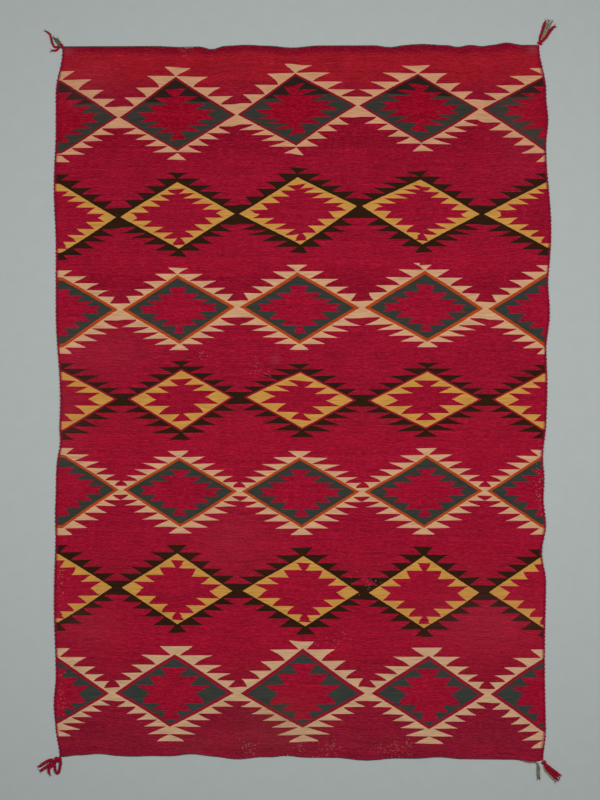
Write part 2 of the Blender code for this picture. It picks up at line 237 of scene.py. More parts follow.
READINGS = (
    Reading(
        yarns=Yarns("cream_pale", "dark_red", "grey_green", "cherry"),
        joins=((119, 118), (237, 114.5), (357, 105.5), (480, 109.5)),
        peaks=(
            (62, 79.5, 61, 154), (176, 76, 177, 152.5), (295, 73, 296.5, 146.5), (418.5, 72.5, 421, 143.5),
            (545, 76, 545, 153.5),
        ),
        line=(1, 1.5, 4),
        foot_at_joins=1,
        outer_shift=Shift(-2.5, 4.5),
        teeth_up=((0.27, 3, 20), (0.48, 3, 20), (0.71, 3, 22), (0.99, 3, 27), (1.21, 1, 24)),
        teeth_down=((0.31, 3, 20), (0.48, 2, 20), (0.64, 2, 17), (0.82, 2, 18), (1.0, 2, 22), (1.21, 1, 20)),
        inner_shift=Shift(0.5, 4),
        inner_up=((0, 14, 9), (0.12, 12, 17), (0.3, 10.5, 20), (0.47, 9, 18), (0.66, 9, 25)),
        inner_down=((0, 14, 9), (0.13, 12, 18), (0.29, 9.5, 21), (0.44, 9.5, 18), (0.66, 11, 24)),
    ),
    Reading(
        yarns=Yarns("black_brown", "gold", "gold", "crimson"),
        joins=((119, 217), (237.3, 213.5), (359, 206.5), (482.5, 213.5)),
        peaks=(
            (60, 181, 61, 255.5), (177, 180, 179, 251.5), (297.5, 174.5, 300.5, 247),
            (421, 177.5, 422, 247), (546, 180, 546, 250),
        ),
        line=(2.2, 4.8, 0),
        foot_at_joins=1,
        outer_shift=Shift(-2, 4.5),
        teeth_up=(
            (0.25, 3, 20), (0.45, 3, 16), (0.64, 3, 17), (0.82, 3, 18), (1.03, 5.6, 17.4), (1.19, 3, 18),
        ),
        teeth_down=(
            (0.31, 3, 20), (0.48, 3, 20), (0.62, 3, 20), (0.81, 3, 19), (0.99, 4.6, 16.4), (1.15, 2, 14),
        ),
        inner_shift=Shift(-0.5, 4),
        inner_up=((0, 7, 7), (0.1, 7, 17), (0.28, 7, 17), (0.44, 7, 17), (0.6, 7, 14), (0.71, 7, 20)),
        inner_down=((0, 7, 7), (0.11, 7, 17), (0.3, 7, 16), (0.46, 7, 17), (0.64, 7, 14), (0.82, 4, 26)),
    ),
    Reading(
        yarns=Yarns("cream", "orange", "dark_green", "carmine"),
        joins=((121, 309), (237, 307.5), (362, 307.5), (486.5, 308.5)),
        peaks=(
            (62, 277, 63, 347.5), (177, 275, 180, 344.5), (297.5, 272, 299.5, 343.5),
            (425, 271, 426.5, 342), (546, 273, 546, 347.5),
        ),
        line=(2.5, 0, 5.3),
        foot_at_joins=3,
        outer_shift=Shift(-1, 3),
        teeth_up=(
            (0.18, 1, 20), (0.4, 1, 15), (0.59, 1, 20), (0.81, 1, 24), (1.03, 4.6, 20.4), (1.21, 1, 21),
        ),
        teeth_down=(
            (0.29, 1, 22), (0.5, 1, 26), (0.65, 1, 23), (0.83, 1, 24), (1.0, 3.6, 19.4), (1.16, 1, 17),
        ),
        inner_shift=Shift(-0.5, 4),
        inner_up=((0, 14, 3), (0.1, 14, 13), (0.24, 14, 15), (0.42, 14, 12), (0.62, 14, 20)),
        inner_down=((0, 14, 3), (0.11, 14, 17), (0.32, 13, 14), (0.49, 13, 13), (0.69, 13, 20)),
    ),
    Reading(
        yarns=Yarns("black_brown", "brick_red", "gold", "crimson"),
        joins=((122.5, 399), (238.5, 397.5), (362.5, 400), (487.5, 399.5)),
        peaks=(
            (63, 370, 63, 433), (181, 368, 181, 432), (300.5, 370, 301.5, 430.5), (427, 370, 426, 430.5),
            (543, 371, 543, 431),
        ),
        line=(5.5, 1, 3.5),
        foot_at_joins=1,
        outer_shift=Shift(-1, 3),
        teeth_up=(
            (0.18, -3, 20), (0.38, -2, 19), (0.58, -2, 22), (0.82, -1, 26), (1.05, 5.6, 21.4),
            (1.23, 2, 22),
        ),
        teeth_down=(
            (0.21, -3, 22), (0.4, -2, 23), (0.59, -2, 23), (0.81, -1, 26), (1.02, 4.6, 24.4), (1.22, 2, 22),
        ),
        inner_shift=Shift(-0.5, 4),
        inner_up=((0, 10, 21), (0.22, 10, 22), (0.43, 10, 18), (0.63, 10, 20)),
        inner_down=((0, 10, 21), (0.19, 10, 24), (0.46, 10, 20), (0.67, 10, 20)),
    ),
    Reading(
        yarns=Yarns("cream", "orange", "dark_green", "carmine"),
        joins=((121, 489.5), (240, 491.5), (362.5, 491.5), (484.5, 491)),
        peaks=(
            (64, 455, 63, 528.5), (179.5, 456.5, 179.5, 526.8), (299.5, 457.5, 301.5, 529),
            (426.5, 455, 424.5, 527.5), (541, 456, 541, 528.5),
        ),
        line=(2.5, 0.5, 4.6),
        foot_at_joins=2,
        outer_shift=Shift(-1, 3),
        teeth_up=(
            (0.1, 1, 10), (0.26, 0, 12.3), (0.43, 0, 19), (0.61, 0, 21), (0.8, 0, 24), (1.0, 3.6, 21.4),
            (1.18, 1, 19),
        ),
        teeth_down=(
            (0.13, 1, 12), (0.27, 0, 15), (0.42, 0, 20), (0.61, 0, 22), (0.8, 0, 25), (1.0, 3.6, 21.4),
            (1.17, 1, 19),
        ),
        inner_shift=Shift(-0.5, 4),
        inner_up=((0, 13, 7), (0.09, 13, 14), (0.26, 13, 17), (0.44, 13, 15), (0.61, 13, 20)),
        inner_down=((0, 13, 7), (0.13, 13, 14), (0.3, 13, 12), (0.49, 12, 13), (0.68, 12, 20)),
    ),
    Reading(
        yarns=Yarns("black_brown", "gold", "gold", "bright"),
        joins=((117, 587.8), (238, 590.5), (364, 592.5), (484, 592.5)),
        peaks=(
            (58, 551.5, 58, 624), (177.5, 551.5, 177, 626), (302.5, 554.5, 305.5, 628),
            (423.5, 553.5, 424.5, 630), (540, 556, 545, 631),
        ),
        line=(5, 3, 0),
        foot_at_joins=1,
        outer_shift=Shift(-1, 3),
        teeth_up=(
            (0.19, -1, 22), (0.39, 0, 20), (0.57, 0, 18.5), (0.76, 0, 18.5), (0.98, 3, 21), (1.18, 1, 19),
        ),
        teeth_down=(
            (0.2, -1, 22), (0.38, 0, 18), (0.55, 0, 17.5), (0.75, 0, 19), (0.98, 3, 20), (1.18, 1, 18),
        ),
        inner_shift=Shift(0, 4),
        inner_up=((0, 6, 17), (0.17, 5, 18), (0.36, 6, 15), (0.57, 8, 14), (0.76, 7, 22)),
        inner_down=((0, 6, 17), (0.21, 5, 19), (0.42, 6, 17), (0.64, 6, 12), (0.83, 3, 26)),
    ),
    Reading(
        yarns=Yarns("cream_ecru", "brick_red", "worn_green", "bright"),
        joins=((112, 693), (237.5, 693), (368, 694), (487.5, 694)),
        peaks=(
            (56, 655, 58, 724), (174.5, 653.5, 169.5, 728.5), (302, 647, 303.5, 728.5),
            (428.5, 654.5, 429.5, 730), (545, 656.5, 543, 733.5),
        ),
        line=(3, 1.5, 6),
        foot_at_joins=2,
        outer_shift=Shift(-1, 3),
        teeth_up=((0.14, 1, 14), (0.32, 1, 13.5), (0.5, 1, 19), (0.7, 1, 21), (0.95, 2, 26), (1.18, 3, 21)),
        teeth_down=(
            (0.22, 1, 18), (0.38, 1, 17), (0.58, 1, 19), (0.76, 1, 19), (0.95, 2, 22), (1.17, 11.5, 22),
            (1.37, 21, 14),
        ),
        inner_shift=Shift(0.4, 4),
        inner_up=((0, 16, 18), (0.19, 13, 16), (0.42, 11, 14.5), (0.64, 8, 26)),
        inner_down=((0, 10, 25), (0.31, 12, 14), (0.5, 12, 8.5), (0.75, 5, 28)),
    ),
)

# Half the width of a diamond, and half the width of the neck that the last inner teeth but one leave open, in
# the photo's pixels, and how many millimetres above the middle of the web the first row begins.
HALF_DIAMOND = 61.1
OPEN_NECK = 2.0
FIRST_ROW_BEGINS = 893


def in_millimetres(pixels):
    """A length in the photo, in whole millimetres of the web."""
    return round(pixels * PIXEL)


def from_middle(x, y):
    """A place in the photo, in whole millimetres from the middle of the web."""
    return in_millimetres(x - MIDDLE_X), in_millimetres(MIDDLE_Y - y)


def outer_edge(readings, shift, foot_at_joins):
    """A row's outer teeth in millimetres; the one at the joins is as long as the next."""
    teeth = []
    for at, foot, length in readings:
        teeth.append(Tooth(at, in_millimetres(foot + shift.foot), in_millimetres(length + shift.length)))
    return (Tooth(0, in_millimetres(foot_at_joins), teeth[0].length), *teeth)


def inner_edge(readings, shift):
    """A row's inner teeth in millimetres; the last but one stops short of the diamond's middle."""
    teeth = [Tooth(at, foot + shift.foot, length + shift.length) for at, foot, length in readings]
    at, foot, length = teeth[-2]
    teeth[-2] = Tooth(at, foot, min(length, (1 - at) * HALF_DIAMOND - OPEN_NECK - foot))
    return tuple(Tooth(at, in_millimetres(foot), in_millimetres(length)) for at, foot, length in teeth)


def chart_of(reading):
    """A row in millimetres, which begins where the first one does."""
    return Row(
        yarns=reading.yarns,
        begins=FIRST_ROW_BEGINS,
        joins=tuple(Join(*from_middle(*join)) for join in reading.joins),
        peaks=tuple(Peak(*from_middle(*peak[:2]), *from_middle(*peak[2:])) for peak in reading.peaks),
        line=Line(*map(in_millimetres, reading.line)),
        teeth_up=outer_edge(reading.teeth_up, reading.outer_shift, reading.foot_at_joins),
        teeth_down=outer_edge(reading.teeth_down, reading.outer_shift, reading.foot_at_joins),
        inner_up=inner_edge(reading.inner_up, reading.inner_shift),
        inner_down=inner_edge(reading.inner_down, reading.inner_shift),
    )


def past_peaks(row, teeth):
    """How far the last tooth is woven past each peak of a row."""
    return [(teeth[-1].at - 1) * (peak.top_y - peak.bottom_y) / 2 for peak in row.peaks]


def chart_rows():
    """The rows from the top down. Each below the first begins midway between its teeth and those above it."""
    rows = [chart_of(reading) for reading in READINGS]
    for index, above in enumerate(rows[:-1]):
        row = rows[index + 1]
        below = past_peaks(above, above.teeth_down)
        lowest = min(peak.bottom_y - past for peak, past in zip(above.peaks, below))
        highest = max(peak.top_y + past for peak, past in zip(row.peaks, past_peaks(row, row.teeth_up)))
        rows[index + 1] = row._replace(begins=round((lowest + highest) / 2))
    return tuple(rows)


ROWS = chart_rows()
HALF_PITCH = in_millimetres(HALF_DIAMOND)

# How far to each side of a peak, or of a join, one diamond's heights blend into the next one's, in
# millimetres.
QUADRANT_BLEND = 15
JOIN_BLEND = 8

# How far past the last tooth the count goes on, as a share of the half height, and how far up the inner
# tooth before the last keeps its length.
PAST_LAST_TOOTH = 0.3
TOOTH_HELD = 0.8

# The weft was dyed in several lots, which show as bands across the ground: where each band is at its
# fullest, in millimetres up from the middle of the web, and its dye lot.
Band = namedtuple("Band", "y lot")
BANDS = (
    Band(-916, "brown"), Band(-860, "brown"), Band(-790, "brown"), Band(-745, "dull"), Band(-690, "dusty"),
    Band(-630, "bright"), Band(-500, "bright"), Band(-440, "dusty"), Band(-380, "bright"),
    Band(-300, "crimson"), Band(-250, "crimson"), Band(-130, "bright"), Band(-90, "bright"),
    Band(-5, "dusty"), Band(60, "crimson"), Band(180, "crimson"), Band(240, "dusty"), Band(300, "deep"),
    Band(360, "bright"), Band(430, "crimson"), Band(480, "crimson"), Band(620, "crimson"),
    Band(672, "deep"), Band(735, "deep"), Band(795, "dull"), Band(835, "scarlet"), Band(885, "scarlet"),
    Band(894, "scarlet"), Band(897, "plum"), Band(916, "plum"),
)

# Soft marks on the web, in millimetres: places where the wool is rubbed off the warps, stains, and places
# where the colour has paled, with a painted highlight at the two top corners where a small ridge of the cloth
# catches the light.
Mark = namedtuple("Mark", "kind x y reach_x reach_y strength")
MARKS = (
    Mark("rub", -260, 122, 16, 8, 0.35),
    Mark("rub", -92, 76, 26, 12, 0.25),
    Mark("rub", -113, 112, 2, 24, 0.5),
    Mark("rub", 614, -220, 9, 60, 0.55),
    Mark("rub", -614, -460, 9, 60, 0.35),
    Mark("rub", -612, -755, 9, 50, 0.35),
    Mark("rub", -300, 903, 12, 10, 0.6),
    Mark("rub", 80, -612, 40, 16, 0.12),
    Mark("rub", 175, -470, 60, 16, 0.1),
    Mark("rub", -134, -890, 14, 18, 0.5),
    Mark("rub", 0, -888, 14, 16, 0.4),
    Mark("rub", 74, -890, 20, 14, 0.6),
    Mark("rub", 226, -892, 34, 12, 0.5),
    Mark("rub", 282, -886, 12, 22, 0.5),
    Mark("stain", -60, -830, 100, 70, 0.4),
    Mark("stain", -280, -890, 60, 40, 0.2),
    # These two are painted highlights at the top corners, where a small ridge of the cloth catches the light.
    Mark("fade", -598, 901, 14, 8, 0.6),
    Mark("fade", 596, 905, 16, 11, 0.6),
    Mark("fade", -67, 108, 12, 10, 0.35),
    Mark("fade", -504, 133, 130, 60, 0.12),
    Mark("fade", -600, -47, 60, 120, 0.14),
    Mark("fade", -180, -350, 110, 70, 0.12),
    Mark("fade", -548, -577, 80, 60, 0.16),
    Mark("fade", 480, -571, 150, 80, 0.18),
    Mark("fade", -560, 814, 70, 60, 0.16),
    Mark("fade", 560, 690, 60, 120, 0.1),
    Mark("fade", 0, -868, 620, 26, 0.06),
)

# Broad soft troughs and ridges that the web keeps from being folded and worn, in millimetres: the middle of
# each, its length and width, the way it runs in degrees from the weft, and its height, which is below 0 in
# a trough.
Crease = namedtuple("Crease", "x y length width turn height")
CREASES = (
    Crease(-300, 620, 300, 40, 8, 0.5), Crease(150, 560, 380, 36, -5, -0.5),
    Crease(430, 330, 260, 34, 12, 0.5), Crease(-450, 250, 240, 30, -10, -0.5),
    Crease(40, 60, 420, 44, 4, 0.4), Crease(-150, -130, 320, 36, -7, -0.5),
    Crease(380, -220, 300, 34, 6, 0.5), Crease(-420, -420, 280, 36, 9, 0.5),
    Crease(120, -520, 360, 40, -4, -0.4), Crease(480, -640, 220, 30, 70, 0.5),
    Crease(-260, -740, 300, 34, -6, 0.5), Crease(250, -800, 280, 30, 5, -0.5),
    Crease(-520, 760, 160, 26, 75, 0.5), Crease(540, 640, 180, 28, 84, -0.5),
    Crease(0, 860, 500, 22, 2, -0.4),
)

# The fade kind holds both paled wool and the painted highlights at the top corners.
MARK_KINDS = ("rub", "stain", "fade")

# How far the middle of the laid web springs off the floor, in millimetres.
SPRING = 0.5

# The pattern's look: how hollow the slope of an outer tooth is, how far the bands of the ground wave up and
# down, in millimetres, how far up its diamond the first row's inner yarn turns black, how wide the turned
# wefts at a selvage are, with the part of it that varies, and how high a rubbed spot is.
TOOTH_HOLLOW = 1.15
BAND_WAVE = 12.0
BLACK_FROM = 0.36
TURNED_WIDTH = 0.0062
TURNED_VARIES = 0.004
RUB_HEIGHT = 0.0022

# The cords: the distance between the points of a yarn, the share of a cord's radius that a ply has, how far
# a cord is tucked in under the edge, how thick and how tightly laid each is drawn beside its solid, and how
# much fuller strands and knots are than theirs.
YARN_STEP = 0.0016
PLY_SHARE = 0.58
CORD_TUCK = 0.0013
SIDE_CORD_DRAWN = 1.1
END_CORD_DRAWN = 0.85
END_LAY = 0.8
TAIL_LAY = 0.6
KNOT_LAY = 0.012
STRAND_FULLNESS = 1.5
KNOT_FULLNESS = 1.2

# Wefts push the side cords outward by this much, this often.
BULGE = 0.0012
BULGE_PITCH = 0.0105

# The yarn wound round each knot.
WRAP_TURNS = 2
WRAP_STEPS = 14
WRAP_YARN = 0.0019

# Where a few ends of warp have worn through: the end of the cloth, 1 for the top, and how far across.
LOOSE_ENDS = (
    (1, -0.3046), (1, -0.2998), (1, -0.2952), (1, -0.2901), (1, -0.2850), (-1, -0.0350), (-1, 0.0280),
    (-1, 0.5790), (-1, 0.5838), (-1, 0.5879), (-1, 0.5925), (-1, 0.5962), (-1, 0.6004), (-1, 0.6041),
)
LOOSE_HEIGHT = 0.0042
LOOSE_RADIUS = 0.0006
LOOSE_STEP = 0.001

# The brush of fibres at the end of a strand.
FRAY_FIBRES = 6
FRAY_LENGTH = 0.008
FIBRE_RADIUS = 0.0004
FIBRE_STEP = 0.002

# The stage: the floor's half width and how far it lies below the cloth, the camera's sensor in millimetres,
# and the place that it looks straight down on.
FLOOR_HALF = 8.0
FLOOR_BELOW = 0.0002
SENSOR = 36.0
VIEW_CENTRE = (-0.0026, 0.0041)

# The dye lots of the ground, the other yarns, and the shades that spinning, turning and wear give them; the
# last is also a painted highlight.
GROUND_DYES = {
    "plum": "#780B1E",
    "scarlet": "#981722",
    "bright": "#960F29",
    "crimson": "#8F0E28",
    "deep": "#820A22",
    "dusty": "#8C1327",
    "dull": "#851226",
    "brown": "#82152A",
    "cherry": "#8C051D",
    "carmine": "#930C28",
}
YARNS = {
    "cream": "#C49873",
    "cream_pale": "#C28F6C",
    "cream_ecru": "#C39D79",
    "gold": "#BE8A42",
    "black_brown": "#2D1A0F",
    "dark_green": "#343731",
    "worn_green": "#363B36",
    "grey_green": "#35352F",
    "green_black": "#2A1E1A",
    "orange": "#A83F17",
    "dark_red": "#7E1020",
    "brick_red": "#8A1528",
}
SHADES = {
    "pale_bobbin": "#AA142F",
    "dark_bobbin": "#740C1E",
    "thin_spun": "#B02E48",
    "thick_spun": "#5C0212",
    "turned_weft": "#740D26",
    "bare_warp": "#C08A80",
    "stain": "#5C3A26",
    # Paled wool, and the colour of the painted highlight at the top corners.
    "faded_and_highlit": "#A85058",
}


def linear(hex_colour):
    """The linear colour, with its alpha, of an sRGB hex value."""
    parts = [int(hex_colour[start:start + 2], 16) / 255 for start in (1, 3, 5)]
    parts = [part / 12.92 if part <= 0.04045 else ((part + 0.055) / 1.055) ** 2.4 for part in parts]
    return (*parts, 1.0)


class SerapeClothSettings(bpy.types.PropertyGroup):
    steps_across: IntProperty(
        name="Steps across", description="Quads across the woven sheet", default=168, min=20,
    )
    steps_along: IntProperty(
        name="Steps along", description="Quads along the woven sheet", default=246, min=20,
    )
    warp_spacing: FloatProperty(
        name="Warp spacing", description="Distance between warps", default=0.0032, unit="LENGTH", precision=4,
    )
    weft_spacing: FloatProperty(
        name="Weft spacing", description="Height of one pass of the weft", default=0.0009, unit="LENGTH",
        precision=4,
    )
    edge_round: FloatProperty(
        name="Edge rounding", description="Radius of the turned edge of the web", default=0.0008,
        unit="LENGTH", precision=4,
    )


def yarn_colour(name, used_for, hex_colour):
    """A colour property for one of the cords' yarns."""
    return FloatVectorProperty(
        name=name, description="Colour of " + used_for, subtype="COLOR", size=4, default=linear(hex_colour),
    )


class SerapeCordSettings(bpy.types.PropertyGroup):
    lay: FloatProperty(
        name="Lay", description="Length of one full turn of a cord's plies", default=0.019, unit="LENGTH",
        precision=4,
    )
    strand_lay: FloatProperty(
        name="Strand lay", description="Length of one full turn of a strand's plies", default=0.009,
        unit="LENGTH", precision=4,
    )
    red: yarn_colour("Red yarn", "the knots and most strands", "#8C152C")
    green: yarn_colour("Green yarn", "some strands", "#5B5A45")
    warp: yarn_colour("Warp yarn", "the undyed warp", "#B5AC94")
    end_green: yarn_colour("End cord yarn", "the end cords", "#48453A")
    olive: yarn_colour("Olive yarn", "the palest strands", "#857E62")
    selvage: yarn_colour("Selvage yarn", "the side cords", "#8A1430")
    tail: yarn_colour("Tail yarn", "the free tail of the bottom end cord", "#6F6B55")


class SerapeStudioSettings(bpy.types.PropertyGroup):
    camera_height: FloatProperty(
        name="Camera height", description="Height of the camera over the floor", default=7.0, unit="LENGTH",
    )
    view_height: FloatProperty(
        name="View height", description="Length of floor that the picture takes in", default=2.056,
        unit="LENGTH",
    )
    floor: FloatVectorProperty(
        name="Floor", description="Colour of the floor", subtype="COLOR", size=4, default=linear("#ACB2B0"),
    )


def bump(distance, reach):
    """1 at the middle of a ripple, and 0 from its reach on."""
    if abs(distance) >= reach:
        return 0.0
    return 0.5 + 0.5 * math.cos(math.pi * distance / reach)


def stands_out(ripples, along):
    return sum(ripple.out * bump(along - ripple.along, ripple.reach) for ripple in ripples)


def lifts(ripples, along):
    return sum(ripple.lift * bump(along - ripple.along, ripple.reach) for ripple in ripples)


def fade(inward, depth):
    """1 at an edge, and 0 from this depth inward on."""
    return max(0.0, 1.0 - inward / depth) ** 2


def on_web(u, v):
    """The point on the underside of the web at u across and v along, each from -1 to 1."""
    across = u * WEB_WIDTH / 2
    along = v * WEB_LENGTH / 2
    top = stands_out(TOP_RIPPLES, across) + TOP_SLANT * u
    bottom = stands_out(BOTTOM_RIPPLES, across) + BOTTOM_SLANT * u
    right = stands_out(RIGHT_RIPPLES, along)
    left = stands_out(LEFT_RIPPLES, along)
    x = across + (1 + u) / 2 * right - (1 - u) / 2 * left
    y = along + (1 + v) / 2 * top - (1 - v) / 2 * bottom
    from_top = (1 - v) * WEB_LENGTH / 2
    from_bottom = (1 + v) * WEB_LENGTH / 2
    from_right = (1 - u) * WEB_WIDTH / 2
    from_left = (1 + u) * WEB_WIDTH / 2
    z = (
        lifts(TOP_RIPPLES, across) * fade(from_top, END_RIPPLE_DEPTH)
        + lifts(BOTTOM_RIPPLES, across) * fade(from_bottom, END_RIPPLE_DEPTH)
        + lifts(RIGHT_RIPPLES, along) * fade(from_right, SIDE_RIPPLE_DEPTH)
        + lifts(LEFT_RIPPLES, along) * fade(from_left, SIDE_RIPPLE_DEPTH)
    )
    return Vector((x, y, z))


def rim_places():
    """The places, as (u, v), that the solid's rim passes through."""
    across = [2 * step / END_STEPS - 1 for step in range(END_STEPS + 1)]
    along = [2 * step / SIDE_STEPS - 1 for step in range(SIDE_STEPS + 1)]
    return [(u, side) for u in across for side in (-1, 1)] + [(side, v) for v in along for side in (-1, 1)]


def to_frame():
    """The move from the place where the pieces are made to the frame that they are kept in."""
    places = [on_web(u, v) for u, v in rim_places()]
    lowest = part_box("web")[0]
    left = min(place.x for place in places)
    near = min(place.y for place in places)
    return Vector((lowest[0] - left, lowest[1] - near, 0.0))


def spare_height(u, v):
    """How far the middle of the laid web stands off the floor, with its creases; nothing of it at the rim."""
    x = u * WEB_WIDTH / 2 / MILLIMETRE
    y = v * WEB_LENGTH / 2 / MILLIMETRE
    height = SPRING * (1 - abs(u) ** 6) * (1 - abs(v) ** 6)
    for crease in CREASES:
        turn = math.radians(crease.turn)
        along = (x - crease.x) * math.cos(turn) + (y - crease.y) * math.sin(turn)
        aside = (y - crease.y) * math.cos(turn) - (x - crease.x) * math.sin(turn)
        height += crease.height * bump(along, crease.length / 2) * bump(aside, crease.width)
    return max(0.0, height) * MILLIMETRE


def held_steps(places, values, blend):
    """Knots of a line that holds each value, and turns into the next one within the blend of each place."""
    knots = [place + side for place in places for side in (-blend, blend)]
    heights = [value for pair in zip(values, values[1:]) for value in pair]
    return knots, heights


def count_teeth(share, sign, teeth, held):
    """How many teeth lie below each share of the half height, with their foot and length there, as columns.

    If held, the tooth before the last keeps its length to near its end, so that its edge stays straight.
    """
    last = teeth[-1]
    teeth = (*teeth, last._replace(at=last.at + PAST_LAST_TOOTH))
    steps = list(range(len(teeth)))
    number = np.interp(share, [tooth.at for tooth in teeth], steps)
    foot = np.interp(number, steps, [tooth.foot for tooth in teeth])
    lengths = [tooth.length for tooth in teeth]
    if held:
        steps.insert(-2, steps[-3] + TOOTH_HELD)
        lengths.insert(-2, lengths[-3])
    return np.column_stack((number * sign, foot, np.interp(number, steps, lengths)))


def chart_row(row, x, y):
    """The chart's values, in millimetres, at places of one row of diamonds."""
    peak_x = [(peak.top_x + peak.bottom_x) / 2 for peak in row.peaks]
    join_x = [join.x for join in row.joins]
    join_y = [join.y for join in row.joins]
    lean = [(peak.top_x - peak.bottom_x) / 2 for peak in row.peaks]
    corners = sorted(peak_x + join_x)

    middle = np.interp(x, join_x, join_y)
    peak_middle = np.interp(peak_x, join_x, join_y)
    up = np.interp(x, peak_x, [peak.top_y - at for peak, at in zip(row.peaks, peak_middle)])
    down = np.interp(x, peak_x, [at - peak.bottom_y for peak, at in zip(row.peaks, peak_middle)])
    above = y >= middle
    rise = (y - middle) / np.where(above, up, down)
    across = np.interp(x - rise * np.interp(x, peak_x, lean), corners, range(len(corners)))

    near_join = np.interp(x, *held_steps(peak_x[1:-1], join_y, QUADRANT_BLEND))
    near_top = np.interp(x, *held_steps(join_x, [peak.top_y for peak in row.peaks], JOIN_BLEND))
    near_bottom = np.interp(x, *held_steps(join_x, [peak.bottom_y for peak in row.peaks], JOIN_BLEND))
    higher = y >= near_join
    share = np.abs(y - near_join) / np.where(higher, near_top - near_join, near_join - near_bottom)
    sign = np.where(higher, 1.0, -1.0)

    outer = np.zeros((len(x), 3))
    inner = np.zeros((len(x), 3))
    left_of_row = np.zeros(len(x))
    halves = ((higher, row.teeth_up, row.inner_up), (~higher, row.teeth_down, row.inner_down))
    for side, teeth, inner_teeth in halves:
        outer[side] = count_teeth(share, sign, teeth, False)[side]
        inner[side] = count_teeth(share, sign, inner_teeth, True)[side]
        left_of_row[side] = ((teeth[-1].at - share) * (near_top - near_bottom) / 2)[side]
    line = np.interp(np.abs(rise), (0, 1), (row.line.at_join, row.line.at_peak))
    return across, rise, outer, inner, np.column_stack((line, np.full(len(x), row.line.width), left_of_row))


def edge_shape(ripples, along):
    """How far an edge stands out, at many places along it at once."""
    out = np.zeros(len(along))
    for ripple in ripples:
        apart = np.abs(along - ripple.along) / ripple.reach
        out += ripple.out * np.where(apart < 1, 0.5 + 0.5 * np.cos(np.pi * apart), 0.0)
    return out


def threads_at(x, y):
    """The places of points on the web as it was on the loom, before its edges rippled, in metres."""
    u = x / (WEB_WIDTH / 2)
    v = y / (WEB_LENGTH / 2)
    out_x = (1 + u) / 2 * edge_shape(RIGHT_RIPPLES, y) - (1 - u) / 2 * edge_shape(LEFT_RIPPLES, y)
    out_y = (1 + v) / 2 * edge_shape(TOP_RIPPLES, x) - (1 - v) / 2 * edge_shape(BOTTOM_RIPPLES, x)
    slant = ((1 + v) / 2 * TOP_SLANT - (1 - v) / 2 * BOTTOM_SLANT) * u
    return np.column_stack((x - out_x, y - out_y - slant, np.zeros(len(x))))


def chart_the_web(mesh, shift):
    """Keeps the chart's values, the marks of wear and the painted highlights on the points of the web."""
    places = np.empty(len(mesh.vertices) * 3, dtype=np.float32)
    mesh.vertices.foreach_get("co", places)
    places = (places.reshape(-1, 3).astype(float) - np.array(shift)) / MILLIMETRE
    x = places[:, 0]
    y = places[:, 1]
    # No weaver keeps a line quite straight: the wefts are beaten down a little unevenly.
    x_drawn = x + 1.2 * np.sin(y / 47 + x / 160) + 0.8 * np.sin(y / 19 + 1.7)
    y_drawn = y + 1.1 * np.sin(x / 83 + y / 210) + 0.6 * np.sin(x / 31 + y / 90 + 0.6)
    begins = np.array([row.begins for row in ROWS])
    number = np.clip(np.sum(y[:, None] < begins[None, :], axis=1) - 1, 0, len(ROWS) - 1)
    chart = np.zeros((len(x), 3))
    outer = np.zeros((len(x), 3))
    inner = np.zeros((len(x), 3))
    line = np.zeros((len(x), 3))
    for index, row in enumerate(ROWS):
        here = number == index
        across, rise, outer[here], inner[here], line[here] = chart_row(row, x_drawn[here], y_drawn[here])
        chart[here] = np.column_stack((across, rise, np.full(len(rise), index)))
    marks = np.zeros((len(x), 3))
    for mark in MARKS:
        apart = ((x - mark.x) / mark.reach_x) ** 2 + ((y - mark.y) / mark.reach_y) ** 2
        marks[:, MARK_KINDS.index(mark.kind)] += mark.strength * np.exp(-apart)
    layers = {
        "chart": chart, "outer_teeth": outer, "inner_teeth": inner, "line": line, "marks": marks,
        "threads": threads_at(x * MILLIMETRE, y * MILLIMETRE),
    }
    for name, values in layers.items():
        layer = mesh.attributes.new(name, "FLOAT_VECTOR", "POINT")
        layer.data.foreach_set("vector", values.astype(np.float32).ravel())


def new_piece(name, bm, material, node, shift):
    """Makes a finished piece from a bmesh, moved into the frame, and takes the place of its solid."""
    bmesh.ops.translate(bm, vec=shift, verts=bm.verts[:])
    mesh = bpy.data.meshes.new(name)
    bm.to_mesh(mesh)
    bm.free()
    mesh.materials.append(material)
    mesh.shade_smooth()
    obj = bpy.data.objects.new(name, mesh)
    bpy.context.scene.collection.objects.link(obj)
    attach(obj, "root")
    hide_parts(node)
    return obj


def add(tree, kind, inputs=(), **settings):
    """Adds a node with its settings, and joins or sets its inputs. A node stands for its own first output."""
    node = tree.nodes.new(kind)
    for name, value in settings.items():
        setattr(node, name, value)
    for socket, source in dict(inputs).items():
        if isinstance(source, bpy.types.Node):
            source = source.outputs[0]
        if isinstance(source, bpy.types.NodeSocket):
            tree.links.new(source, node.inputs[socket])
        else:
            node.inputs[socket].default_value = source
    return node


def fill_ramp(node, stops, interpolation):
    """Gives a colour ramp its stops, each a position and a linear colour."""
    ramp = node.color_ramp
    ramp.interpolation = interpolation
    while len(ramp.elements) < len(stops):
        ramp.elements.new(1.0)
    for element, (position, colour) in zip(ramp.elements, stops):
        element.position = position
        element.color = colour


def wool_material(name, roughness):
    """A matt wool material with its tree and its shader."""
    material = bpy.data.materials.new(name)
    material.use_nodes = True
    tree = material.node_tree
    shader = tree.nodes["Principled BSDF"]
    shader.inputs["Roughness"].default_value = roughness
    shader.inputs["Specular IOR Level"].default_value = 0.02
    return material, tree, shader


